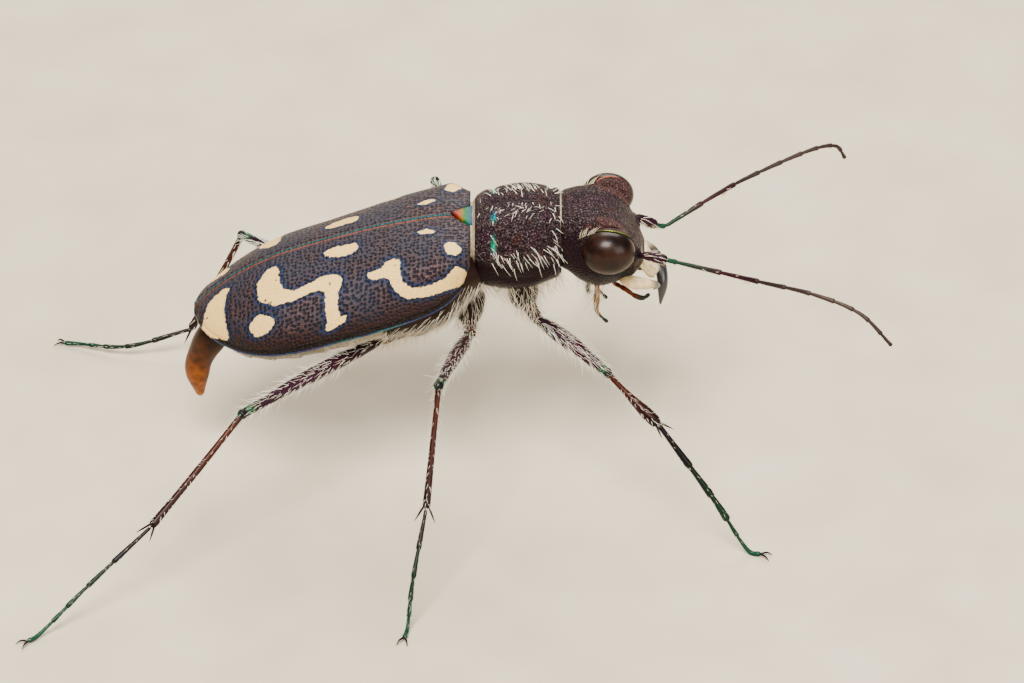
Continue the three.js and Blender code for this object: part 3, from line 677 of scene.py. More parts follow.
def bronze_cuticle(settings):
    """Wrinkled, granular cuticle of the head and prothorax: dull bronze with coppery glints."""
    made, tree, shader = material("granular_bronze_cuticle", IOR=1.5, Specular_IOR_Level=0.07)
    groove, plain = attribute(tree, "groove"), attribute(tree, "plain")
    warp, fine = noise(tree, 0.5), noise(tree, 0.05, 4.0)
    dull = ramp(tree, fine, [(0.32, "#0a0506"), (0.45, "#1e1417"), (0.57, "#423338"),
                             (0.7, "#907c82")])
    tint = ramp(tree, warp, [(0.32, "#35182c"), (0.46, "#241c1c"), (0.56, "#221f22"),
                             (0.68, "#42221a")])
    hue = mixed(tree, 0.4, dull, tint)
    hue = mixed(tree, attribute(tree, "copper"), hue, "#68443c")
    glint = ramp(tree, warp, [(0.4, "#0d7f96"), (0.52, "#10b0ac"), (0.62, "#12a07a")])
    hue = mixed(tree, groove, hue, glint)
    # plain takes the colour to near black: the dark, smooth underside, and also painted shade
    # behind the eyes and in the prothorax's median groove
    hue = mixed(tree, plain, hue, "#10030a")
    metal = maths(tree, "MULTIPLY_ADD", plain, -0.35, ranged(tree, groove, low=0.42, high=0.9))
    grains = cells(tree, place_of(tree), per_metre(settings.grain_size), 0.9)
    height = maths(tree, "MULTIPLY_ADD", fine, 0.8, ranged(tree, grains, 0.0, 0.7))
    height = maths(tree, "MULTIPLY", height, ranged(tree, plain, low=1.0, high=0.12))
    wire(tree, shader, Base_Color=hue, Metallic=metal,
         Roughness=ranged(tree, plain, low=0.46, high=0.28),
         Normal=relief(tree, height, 1.0, 0.075))
    return made


def eye_cornea():
    """Compound eye: tiny clear lenses over dark pigment, so brown with soft grey gleams."""
    made, tree, shader = material("compound_eye", IOR=1.4, Roughness=0.34,
                                  Specular_IOR_Level=0.22, Coat_Weight=0.08, Coat_Roughness=0.15)
    hue = ramp(tree, noise(tree, 0.45), [(0.3, "#0a0403"), (0.46, "#180a06"), (0.58, "#25110a"),
                                         (0.72, "#171218")])
    # Real lenses are 0.02 mm across. They are drawn at 0.03 mm so that they show
    lens = cells(tree, place_of(tree), per_metre(0.03), 0.15)
    wire(tree, shader, Base_Color=hue, Normal=relief(tree, lens, 0.12, 0.006, invert=True))
    return made


def station_cuticle(name, stops, metallic, roughness, grain=0.06, speck=0.25):
    """Smooth cuticle whose colour follows the attribute called station, from root to tip."""
    made, tree, shader = material(name, IOR=1.5, Metallic=metallic, Specular_IOR_Level=0.16)
    speckle = noise(tree, grain, 3.0)
    along = ramp(tree, attribute(tree, "station"), stops)
    hue = shaded(tree, along, ranged(tree, speckle, 0.35, 0.7, 1.0 - speck, 1.0 + speck))
    wire(tree, shader, Base_Color=hue,
         Roughness=ranged(tree, speckle, low=roughness - 0.08, high=roughness + 0.1),
         Normal=relief(tree, speckle, 0.4, 0.012))
    return made


def jaw_cuticle():
    """Smooth pale cuticle of the lip and jaws: ivory, slightly see-through, black teeth."""
    made, tree, shader = material("ivory_cuticle", IOR=1.5, Roughness=0.34, Coat_Weight=0.3,
                                  Coat_Roughness=0.15, Subsurface_Weight=0.08,
                                  Subsurface_Scale=0.05 * MM)
    hue = ramp(tree, noise(tree, 0.2, 3.0), [(0.35, "#c8ab76"), (0.6, "#dfc89a")])
    hue = mixed(tree, rising(tree, attribute(tree, "station"), 0.52, 0.66), hue, "#1d1e22")
    hue = mixed(tree, attribute(tree, "pore"), hue, "#2a1a12")
    wire(tree, shader, Base_Color=hue)
    return made


def hair_keratin(name, text):
    """Stiff insect hair: smooth, ivory and catching the light along its length."""
    made, tree, shader = material(name, IOR=1.54, Roughness=0.36, Subsurface_Weight=0.2,
                                  Subsurface_Scale=0.05 * MM)
    hue = shaded(tree, colour(text), ranged(tree, noise(tree, 0.6), low=0.8, high=1.15))
    wire(tree, shader, Base_Color=hue)
    return made


# Colours from hip to toe. The femur's purple is lighter at mid-length (0.34), a painted highlight
# on its own dark purple
LEG_STOPS = [
    (0.0, "#140806"), (0.06, "#120706"), (0.12, "#341006"), (0.2, "#140810"), (0.34, "#2e0e22"),
    (0.43, "#1e0c18"), (0.456, "#1c5034"), (0.466, "#0e0a10"), (0.509, "#120a0e"),
    (0.514, "#8a1c30"), (0.524, "#220c08"), (0.56, "#381307"), (0.66, "#220a08"),
    (0.74, "#140a10"), (0.8, "#0d0a10"), (0.9, "#0a2218"), (1.0, "#083a28"),
]
FEELER_STOPS = [
    (0.0, "#12080c"), (0.05, "#2a1024"), (0.09, "#180c14"), (0.105, "#0e3a28"), (0.2, "#16281e"),
    (0.3, "#33121e"), (0.4, "#261019"), (0.47, "#261c1d"), (0.7, "#382c29"), (1.0, "#2a201d"),
]
TRUNK_STOPS = [(0.0, "#1c0b07"), (0.5, "#857d6c"), (1.0, "#17130f")]
TAIL_STOPS = [(0.0, "#120703"), (0.3, "#221006"), (0.5, "#452008"), (0.72, "#86460a"),
              (1.0, "#925410")]
PALP_STOPS = [(0.0, "#4a1c0a"), (0.45, "#5a220c"), (0.7, "#1c2418"), (1.0, "#0c201c")]
LIP_PALP_STOPS = [(0.0, "#8a6238"), (0.6, "#6e4a22"), (0.72, "#182c20"), (1.0, "#0a1c18")]
MEMBRANE_STOPS = [(0.0, "#120a08"), (0.5, "#5a4c3c"), (1.0, "#94876c")]
JEWEL_STOPS = [(0.0, "#1a0808"), (0.2, "#5a1010"), (0.36, "#802c04"), (0.5, "#6c5002"),
               (0.62, "#0a5a14"), (0.78, "#034c46"), (1.0, "#062050")]
RIM_STOPS = [(0.0, "#146a5c"), (0.25, "#7c8430"), (0.5, "#1f7a4c"), (0.6, "#8a2040"),
             (0.8, "#a8582c"), (1.0, "#6a1a3a")]
MATERIALS = {}


def make_materials(settings):
    """Fills the table of finishes once, before the first piece."""
    if MATERIALS:
        return
    MATERIALS.update(
        case=wing_case_cuticle(settings),
        bronze=bronze_cuticle(settings),
        eye=eye_cornea(),
        jaw=jaw_cuticle(),
        leg=station_cuticle("purple_leg_cuticle", LEG_STOPS, 0.25, 0.34),
        feeler=station_cuticle("feeler_cuticle", FEELER_STOPS, 0.35, 0.38, 0.04),
        trunk=station_cuticle("belly_cuticle", TRUNK_STOPS, 0.2, 0.45, 0.08),
        tail=station_cuticle("amber_cuticle", TAIL_STOPS, 0.0, 0.4, 0.25, 0.5),
        palp=station_cuticle("palp_cuticle", PALP_STOPS, 0.2, 0.3, 0.1),
        lip_palp=station_cuticle("lip_palp_cuticle", LIP_PALP_STOPS, 0.1, 0.3, 0.1),
        membrane=station_cuticle("joint_membrane", MEMBRANE_STOPS, 0.0, 0.5, 0.1),
        jewel=station_cuticle("scutellum_cuticle", JEWEL_STOPS, 0.3, 0.42, 0.08, 0.3),
        rim=station_cuticle("eye_rim_cuticle", RIM_STOPS, 0.8, 0.3),
        hair=hair_keratin("white_hair", settings.hair_hex),
        fringe=hair_keratin("pale_hair", "#cbbfaa"),
        bristle=hair_keratin("cream_bristle", "#e6d9b8"),
    )


# Wing cases

case_top, case_rim, case_half, case_square = map(
    profile, (CASE_TOP, CASE_RIM, CASE_HALF, CASE_SQUARE))


def mark_distance(x, out):
    """Signed distance to the cream markings, negative inside them."""
    best = np.full(x.shape, 9.0)
    for stroke in MARKS:
        for (x0, s0, r0), (x1, s1, r1) in zip(stroke, stroke[1:]):
            dx, ds = x1 - x0, s1 - s0
            t = np.clip(((x - x0) * dx + (out - s0) * ds) / (dx * dx + ds * ds), 0, 1)
            gap = np.hypot(x - x0 - t * dx, out - s0 - t * ds) - (r0 + (r1 - r0) * t)
            best = np.minimum(best, gap)
    for x0, s0 in MARK_PORES:
        best = np.maximum(best, MARK_PORE_HALF - np.hypot(x - x0, out - s0))
    return best


def girth(y, z):
    """Distance from the suture across each row of a wing case."""
    steps = np.hypot(np.diff(y, axis=1), np.diff(z, axis=1))
    return np.concatenate([np.zeros((len(y), 1)), np.cumsum(steps, axis=1)], axis=1)


def case_grid(side, along=210, across=100, tuck=9):
    """The wing case's outer face: points, and the distances that its finish reads."""
    s = np.linspace(0, 1, along)[:, None]

    def surface(q):
        angle = q * math.pi / 2
        first = case_half(CASE_BASE) * squared(np.sin(angle), case_square(CASE_BASE))
        notch = np.clip(1 - first / (SCUTELLUM_HALF + 0.02), 0, 1)
        corner = np.clip((q - 0.8) / 0.2, 0, 1) ** 2
        base = CASE_BASE + 0.06 - (SCUTELLUM_LENGTH + 0.04) * notch - 0.2 * corner
        x = base + (CASE_TIP - base) * np.sin(s * math.pi / 2) ** 0.9
        power = case_square(x)
        y = 0.004 + case_half(x) * squared(np.sin(angle), power)
        z = case_rim(x) + (case_top(x) - case_rim(x)) * squared(np.cos(angle), power)
        return x, y, z, angle

    # Even steps across the case, then a lip that turns under at the rim
    dense = dense_ends(900)[None]
    _, y, z, _ = surface(dense)
    q = np.array([np.interp(np.linspace(0, row[-1], across), row, dense[0]) for row in girth(y, z)])
    q = np.concatenate([q, np.ones((along, tuck))], axis=1)
    x, y, z, angle = surface(q)
    flange = np.concatenate([np.zeros(across), np.linspace(0, 1, tuck + 1)[1:]])[None]
    turn = np.minimum(flange * 2, 1) * math.pi / 2
    inward = CASE_LIP * (1 - np.cos(turn)) + np.maximum(flange - 0.5, 0) * 0.5
    y = y - np.where(flange > 0, inward, 0)
    z = z - np.where(flange > 0, CASE_LIP * np.sin(turn), 0)
    out = girth(y, z)
    edge = out[:, across - 1:across] - out
    # Raised suture, the gutters beside it and above the rim, the shoulder and its dent
    lift = (0.03 * bump(out, 0.0, 0.05) - 0.025 * bump(out, 0.12, 0.05)
            - 0.035 * bump(edge, 0.14, 0.06))
    shoulder = 0.1 * np.exp(-((x + 0.55) / 0.35) ** 2 - ((out - 2.2) / 0.5) ** 2)
    dent = -0.07 * np.exp(-((x + 0.5) / 0.4) ** 2 - ((out - 1.15) / 0.35) ** 2)
    hem = -0.05 * (1 - np.clip(s / 0.06, 0, 1) ** 0.5)
    z = z + (lift + dent + hem) * np.cos(angle) + shoulder * 0.7
    y = y + (lift + hem) * np.sin(angle) + shoulder * 0.6
    points = np.stack([np.broadcast_to(x, y.shape), side * np.maximum(y, 0.002), z], axis=-1)
    return points, out, edge


def scutellum_rings(count=40, sides=24):
    """The scutellum: a flat wedge that points back between the wing cases."""
    share = np.linspace(0, 1, count)[:, None]
    angle = around(sides)
    x = CASE_BASE + SCUTELLUM_TUCK - share * (SCUTELLUM_LENGTH + SCUTELLUM_TUCK)
    width = SCUTELLUM_HALF * np.minimum(np.maximum(1.12 - 1.12 * share, 0.03), 1.0)
    crown = case_top(x) - 0.06 * (1 - share) ** 2
    return np.stack([np.broadcast_to(x, (count, sides)), width * np.cos(angle),
                     crown - 0.05 + 0.09 * squared(np.sin(angle), 5)], axis=-1)


class BEETLE_OT_wing_cases(bpy.types.Operator):
    """Both wing cases and the scutellum between them"""
    bl_idname = "beetle.wing_cases"
    bl_label = "Wing cases"

    def execute(self, context):
        settings = context.scene.beetle
        make_materials(settings)
        for name, side in SIDES.items():
            points, out, edge = case_grid(side)
            marks = mark_distance(points[..., 0], out)
            piece = sheet(f"wing_case_{name}", points, {"mark": marks, "suture": out, "rim": edge})
            layer = piece.data.uv_layers.active
            layer.name = "Unrolled"
            corners = np.empty(len(piece.data.loops), np.int32)
            piece.data.loops.foreach_get("vertex_index", corners)
            flat = np.stack([-points[..., 0], out], axis=-1).reshape(-1, 2) / UNROLLED
            layer.data.foreach_set("uv", flat[corners].astype(np.float32).reshape(-1))
            bpy.ops.object.mode_set(mode="EDIT")
            bpy.ops.mesh.select_all(action="SELECT")
            if side < 0:
                bpy.ops.mesh.flip_normals()
            bpy.ops.object.mode_set(mode="OBJECT")
            bpy.ops.object.shade_smooth()
            wall = piece.modifiers.new("wall", "SOLIDIFY")
            wall.thickness = CASE_WALL * MM
            wall.offset = -1
            bpy.ops.object.modifier_apply(modifier=wall.name)
            finished(piece, MATERIALS["case"], "wing_case", f"elytron_{name}")
        piece = graded("scutellum_plate", scutellum_rings(), 1, 0)
        finished(piece, MATERIALS["jewel"], "scutellum", "scutellum")
        return {"FINISHED"}


# Prothorax and trunk

PRO_SHAPE = [profile(pairs) for pairs in (PRO_HALF, PRO_TOP, PRO_MIDDLE, PRO_BOTTOM)]
belly_depth = profile(BELLY_DEPTH)


def prothorax_grid(count=120, sides=144):
    """The prothorax: two low domes between a groove near each end, and a fine line between them."""
    x = np.linspace(PRO_REAR, PRO_FRONT, count)[:, None]
    angle = around(sides)[None]
    upper = np.clip(np.sin(angle) * 3, 0, 1)
    lean = angle - math.pi / 2
    bow = PRO_REAR_GROOVE + 0.1 * np.cos(angle) ** 2 - 0.12 * bump(lean, 0, 0.3)
    rear = bump(x, bow, 0.085) * upper
    front = bump(x, PRO_FRONT_GROOVE + 0.12 * np.cos(angle) ** 2, 0.09) * upper
    between = ((x > PRO_REAR_GROOVE) & (x < PRO_FRONT_GROOVE))
    middle = bump(lean, 0, 0.04) * between
    dip = bump(lean, 0, 0.3) * bump(x, 1.35, 0.75)
    dome = bump(np.abs(lean), 0.85, 0.5) * bump(x, 1.35, 0.62) * upper
    margin = (bump(angle, 0.1, 0.09) + bump(angle, math.pi - 0.1, 0.09)) * bump(x, 1.3, 1.0)
    below = bump(np.abs(lean), math.pi / 2 + 0.28, 0.16) * bump(x, 1.3, 0.9)
    rim = np.clip((x - PRO_REAR) / 0.08, 0, 1) ** 0.5 * np.clip((PRO_FRONT - x) / 0.08, 0, 1) ** 0.5
    swell = (1 - 0.05 * rear - 0.05 * front - 0.03 * middle - 0.03 * dip
             + 0.02 * dome + 0.03 * margin)
    swell = (swell - 0.03 * below) * (0.93 + 0.07 * rim)
    points = oval(x, angle, PRO_SHAPE, PRO_POWER, swell)
    pits = bump(np.abs(lean), 0.42, 0.1) + bump(np.abs(lean), 1.12, 0.16)
    groove = np.clip((bump(x, PRO_REAR_GROOVE + 0.06, 0.055) * pits) * 1.3 * upper, 0, 1)
    # plain: the dark underside, and the fine median line, whose groove is also painted dark as
    # shade
    plain = np.clip((0.1 - np.sin(angle)) * 8, 0, 1) + 0.9 * bump(lean, 0, 0.03) * between
    return points, groove, np.clip(plain, 0, 1)


def trunk_grid(count=170, sides=96):
    """Middle and hind thorax and the abdomen in one, with a step at the edge of each belly ring."""
    x = np.linspace(TRUNK_FRONT, TRUNK_BACK, count)[:, None]
    angle = around(sides)[None]
    seam = case_rim(x) - SEAM_DROP
    end = np.clip((x - TRUNK_BACK) / 0.5, 0.0, 1) ** 0.5
    start = np.clip((TRUNK_FRONT - x) / 0.65, 0.0, 1) ** 0.5
    full = (0.25 + 0.75 * end) * (0.35 + 0.65 * start)
    step = np.zeros_like(x)
    for ring in BELLY_RINGS:
        step = step + 0.035 * np.clip((x - ring + 0.5) / 0.5, 0, 1) * (x < ring)
    upper = np.sin(angle) > 1e-6
    half = np.where(upper, case_half(x) - CASE_WALL - 0.1, case_half(x) - BELLY_INSET)
    half = np.maximum(half, 0.25) * full * (1 + np.where(upper, 0, step))
    rise = np.maximum(case_top(x) - CASE_WALL - 0.12 - seam, 0.1) * full
    depth = np.maximum(belly_depth(x) - 0.12, 0.1) * full * (1 + step)
    y = half * squared(np.cos(angle), 2.1)
    z = seam + np.where(upper, rise, depth) * squared(np.sin(angle), 2.15)
    return np.stack([np.broadcast_to(x, y.shape), y, z], axis=-1)


def trunk_tone(points):
    """Where the trunk is brown (0), pale along its flank (0.5) and dark bronze below (1)."""
    x = points[..., 0]
    drop = case_rim(x) - SEAM_DROP - points[..., 2]
    flank = np.clip((0.42 - drop) / 0.08, 0, 1) * np.clip((FLANK_START - x) / 0.15, 0, 1)
    body = np.where(x > FLANK_START, 0.0, 1.0)
    return body + (0.5 - body) * flank


def collar_skin(name):
    """The folded skin in the joint at one end of the prothorax."""
    low, high, share, level = COLLARS[name]
    x = np.linspace(low, high, 14)[:, None]
    fold = share * (1 - 0.012 * np.cos(x * 60)) - 0.06 * np.clip((0.02 - x) / 0.14, 0, 1)
    points = oval(np.clip(x, 0.0, PRO_FRONT), around(48)[None], PRO_SHAPE, PRO_POWER, fold)
    points[..., 0] = x
    pale = np.clip((points[..., 2] - level) / 0.3, 0, 1)
    return skin(f"collar_{name}", points, {"station": pale})


class BEETLE_OT_trunk(bpy.types.Operator):
    """The prothorax, the trunk, the joint skin between them and the tail tip"""
    bl_idname = "beetle.trunk"
    bl_label = "Thorax and abdomen"

    def execute(self, context):
        make_materials(context.scene.beetle)
        points, groove, plain = prothorax_grid()
        piece = skin("prothorax_plate", points, {"groove": groove, "plain": plain})
        finished(piece, MATERIALS["bronze"], "bronze_cuticle", "pronotum")
        points = trunk_grid()
        piece = skin("trunk_skin", points, {"station": trunk_tone(points)})
        finished(piece, MATERIALS["trunk"], "belly", "thorax", "abdomen")
        collars = [collar_skin(name) for name in COLLARS]
        finished(joined("joint_skin", collars), MATERIALS["membrane"], "belly")
        ridges = 1 + 0.03 * np.sin(np.linspace(0, 22, 60))
        tail = swollen(limb(TAIL, TAIL_HALF, 60, 28, 0.9), ridges)
        finished(graded("tail_tip", tail, 0, 1), MATERIALS["tail"], "tail_tip", "abdomen_tip")
        return {"FINISHED"}


# Head

HEAD_SHAPE = [profile(pairs) for pairs in (HEAD_HALF, HEAD_TOP, HEAD_MIDDLE, HEAD_BOTTOM)]


def lid_axis(side):
    """The way a brow faces: inwards, up and a little ahead."""
    return unit(np.array([0.16, -side * 0.8, 0.58]))


def head_grid(count=150, sides=200):
    """The skull, with a brow over each eye, a hollow between them and sockets for the feelers."""
    t = np.linspace(0, 1, count)[:, None]
    x = HEAD_BACK + HEAD_LENGTH * np.sin(t * math.pi / 2) ** 0.85
    angle = around(sides)[None]
    front = np.clip((HEAD_BACK + HEAD_LENGTH - x) / 0.3, 0, 1) ** 0.5
    neck = 0.9 + 0.1 * np.clip((x - HEAD_BACK) / 0.2, 0, 1) ** 0.6
    points = oval(x, angle, HEAD_SHAPE, HEAD_POWER, (0.55 + 0.45 * front) * neck)
    hollow = np.exp(-(points[..., 1] / 0.5) ** 2 - ((x - 3.95) / 0.55) ** 2)
    points[..., 2] -= 0.06 * hollow * (np.sin(angle) > 0)
    copper = np.zeros(points.shape[:2])
    for side in SIDES.values():
        # Over the eye the skull is lifted off it. The rest of what the eye fills is tucked away
        centre = mirrored(EYE_CENTRE, side)
        away = (points - centre) / EYE_HALF
        reach = np.linalg.norm(away, axis=-1, keepdims=True)
        way = away / np.maximum(reach, 1e-6)
        facing = (way * lid_axis(side)).sum(axis=-1, keepdims=True)
        cover = np.clip((facing - LID_EDGE) / 0.05, 0, 1)
        rise = LID_LEVEL + 0.1 * np.clip((facing - LID_EDGE) / 0.14, 0, 1)
        glow = cover * np.clip((1.22 - reach) / 0.15, 0, 1) * (facing < 0.93)
        copper = np.maximum(copper, glow[..., 0] * 0.12)
        lidded = rise + LID_BLEND * np.logaddexp(0, (reach - rise) / LID_BLEND)
        points = points + way * EYE_HALF * (lidded - reach) * cover
        tucked = centre + way * 0.86 * EYE_HALF
        under = (1 - cover) * (reach < 1.0)
        points = points + (tucked - points) * under
        orbit = bump(reach, 1.1, 0.07) * (1 - cover)
        points = points - 0.05 * orbit * unit(way * EYE_HALF)
        socket = np.linalg.norm(points - mirrored(FEELER_SOCKET, side), axis=-1)
        points[..., 0] += 0.06 * bump(socket, 0.19, 0.05) - 0.08 * bump(socket, 0.0, 0.12)
        # Coppery hump along the upper edge of the eye
        hump = (1 - ((points[..., 0] - HUMP[0]) / HUMP_HALF[0]) ** 2
                - ((points[..., 1] * side - HUMP[1]) / HUMP_HALF[1]) ** 2)
        hump = np.clip(hump, 0, 1) * (points[..., 2] > EYE_CENTRE[2])
        copper = np.maximum(copper, 0.32 * np.clip(hump * 5, 0, 1))
        points[..., 2] += HUMP_HEIGHT * hump ** 0.5
    return points, copper


def brow_grid(side, count=44, sides=72):
    """A brow plate: a shell over the inner, upper part of an eye, rolled under along its edge."""
    axis = lid_axis(side)
    across = unit(np.cross(axis, [1.0, 0, 0]))
    over = np.cross(axis, across)
    reach = math.acos(LID_EDGE)
    share = np.linspace(0.02, 1, count)[:, None]
    polar = reach * np.minimum(share / 0.86, 1)
    roll = np.clip((share - 0.86) / 0.14, 0, 1)
    turn = around(sides)[None]
    facing = np.cos(polar)
    lift = 0.05 * np.clip((facing - LID_EDGE) / 0.2, 0, 1)
    scale = 1.05 + lift - 0.12 * roll
    way = (np.cos(polar)[..., None] * axis + np.sin(polar)[..., None]
           * (np.cos(turn)[..., None] * across + np.sin(turn)[..., None] * over))
    centre = mirrored(EYE_CENTRE, side)
    return centre + way * scale[..., None] * EYE_HALF * np.array([1.03, 1, 1])


def rim_path(side):
    """The bright line along the outer edge of a brow."""
    axis = lid_axis(side)
    outward = unit(np.array([0, side, 0.9]) - axis * axis.dot([0, side, 0.9]))
    along = np.cross(axis, outward)
    turns = np.radians(np.linspace(-72, 72, 14))[:, None]
    ways = np.cos(turns) * outward + np.sin(turns) * along
    ways = LID_EDGE * axis + math.sqrt(1 - LID_EDGE ** 2) * ways
    return mirrored(EYE_CENTRE, side) + EYE_HALF * 1.04 * ways


class BEETLE_OT_head(bpy.types.Operator):
    """The skull and the two eyes with their bright upper rims"""
    bl_idname = "beetle.head"
    bl_label = "Head and eyes"

    def execute(self, context):
        make_materials(context.scene.beetle)
        points, copper = head_grid()
        x = points[..., 0]
        # Low on the head and behind the eye it is dark and smooth: partly its own dark underside,
        # partly painted shade between the head and the prothorax, with green glints under the eye
        low = np.clip((8.5 - 1.1 * np.clip(x - 2.9, 0, 1) - points[..., 2]) / 0.35, 0, 1)
        green = 0.45 * bump(points[..., 2], 6.85, 0.14) * bump(x, 4.1, 0.6)
        green = green * (0.6 + 0.4 * np.sin(x * 9))
        parts = [skin("head_skin", points, {"groove": green, "plain": low * 0.9, "copper": copper})]
        for side in SIDES.values():
            shades = {"groove": 0.0, "plain": 0.0, "copper": 0.22}
            parts.append(skin("brow", brow_grid(side), shades))
        piece = joined("head_skin", parts)
        finished(piece, MATERIALS["bronze"], "bronze_cuticle", "head")
        for name, side in SIDES.items():
            centre = mirrored(EYE_CENTRE, side)
            bpy.ops.object.select_all(action="DESELECT")
            bpy.ops.mesh.primitive_uv_sphere_add(segments=72, ring_count=44, radius=1,
                                                 location=metres(centre), scale=EYE_HALF * MM)
            eye = bpy.context.object
            eye.name = f"eye_ball_{name}"
            bpy.ops.object.transform_apply(location=True, rotation=True, scale=True)
            bpy.ops.object.shade_smooth()
            finished(eye, MATERIALS["eye"], "eye", f"eye_{name}")
            rim = limb(rim_path(side), [0.008, 0.015, 0.017, 0.015, 0.008], 40, 8)
            piece = graded(f"eye_rim_{name}", rim, *((0, 0.5) if side < 0 else (0.6, 1)))
            finished(piece, MATERIALS["rim"], "scutellum")
        return {"FINISHED"}


# Mouthparts

def labrum_grid(along=36, across=48, thick=0.16):
    """The upper lip: a rounded ivory shield with small teeth along its front edge."""
    s = np.linspace(0, 1, along)[:, None]
    c = np.linspace(-1, 1, across)[None]
    teeth = 0.05 * np.maximum(np.cos(c * 7.5), 0) * np.clip((s - 0.7) / 0.3, 0, 1)
    reach = LABRUM_LENGTH * (1 - 0.3 * c * c) * s + teeth
    width = LABRUM_HALF * (1 - 0.2 * s * s)
    lift = 0.16 * (1 - c * c) * (1 - 0.5 * s)
    cos, sin = math.cos(LABRUM_SLOPE), math.sin(LABRUM_SLOPE)
    sheets = []
    for depth in (0.0, thick):
        edge = (np.clip((1 - s) / 0.12, 0, 1) * np.clip((1 - np.abs(c)) / 0.1, 0, 1)) ** 0.5
        over = lift - thick / 2 + (0.5 if depth == 0 else -0.5) * thick * (0.15 + 0.85 * edge)
        x = LABRUM_BASE[0] + cos * reach + sin * over
        z = LABRUM_BASE[2] - sin * reach + cos * over
        sheets.append(np.stack([x, np.broadcast_to(c * width, x.shape), z], axis=-1))
    return np.concatenate([sheets[0], sheets[1][:, ::-1]], axis=1), s, c


class BEETLE_OT_mouth(bpy.types.Operator):
    """The upper lip, the jaws and the four palps"""
    bl_idname = "beetle.mouth"
    bl_label = "Mouthparts"

    def execute(self, context):
        make_materials(context.scene.beetle)
        points, s, c = labrum_grid()
        pore = np.zeros((len(s), c.shape[1]))
        for across, along in LABRUM_PORES:
            gap = np.hypot((s - along) * LABRUM_LENGTH, (c - across) * LABRUM_HALF)
            pore = np.maximum(pore, gap < LABRUM_PORE_HALF)
        pore = np.concatenate([pore, np.zeros_like(pore)], axis=1)
        piece = skin("upper_lip", points, {"station": 0.2, "pore": pore})
        finished(piece, MATERIALS["jaw"], "jaw", "labrum")
        for name, (path, half) in MANDIBLES.items():
            side, dark = SIDES[name], MANDIBLE_DARK[name]
            parts = [graded(f"jaw_{name}", limb(path, half, 40, 20, 0.8), dark, 1 + dark)]
            for share, size in MANDIBLE_TEETH:
                root = smooth_path(path, 100)[int(share * 99)]
                tip = root + np.array([0.02, -side * size, -0.16])
                tooth = limb([root, tip], [0.08, 0.06, 0.01], 10, 10)
                parts.append(graded("tooth", tooth, 1, 1))
            finished(joined(f"jaw_{name}", parts), MATERIALS["jaw"], "jaw", f"mandible_{name}")
            for label, (way, thick, made, slot) in PALPS.items():
                spots = np.linspace(0, 1, 44)
                waist = 1 - 0.22 * sum(bump(spots, joint, 0.025) for joint in PALP_JOINTS)
                rings = swollen(limb(mirrored(way, -side), thick, 44, 14), waist)
                piece = graded(f"{label}_{name}_skin", rings, 0, 1)
                finished(piece, MATERIALS[made], slot, f"{label}_{name}")
        return {"FINISHED"}


# Feelers

class BEETLE_OT_feelers(bpy.types.Operator):
    """Both feelers, each of eleven joints that swell towards their ends"""
    bl_idname = "beetle.feelers"
    bl_label = "Feelers"

    def execute(self, context):
        make_materials(context.scene.beetle)
        for name, path in FEELERS.items():
            line = smooth_path(path, 400)
            parts = []
            for i, half in enumerate(FEELER_HALF):
                spots = stretch(line, FEELER_KNOTS[i] - 0.006, FEELER_KNOTS[i + 1] + 0.005)
                thin = (0.62, 0.95, 1.1, 0.95) if i == 0 else (0.62, 0.8, 0.88, 1.12)
                rings = limb(spots, [half * share for share in thin], 16, 12)
                parts.append(graded("joint", rings, FEELER_KNOTS[i], FEELER_KNOTS[i + 1]))
            nodes = [f"antenna_{name}_{part}" for part in ("scape", "stem", "whip")]
            finished(joined(f"feeler_{name}", parts), MATERIALS["feeler"], "feeler", *nodes)
        return {"FINISHED"}


# Legs

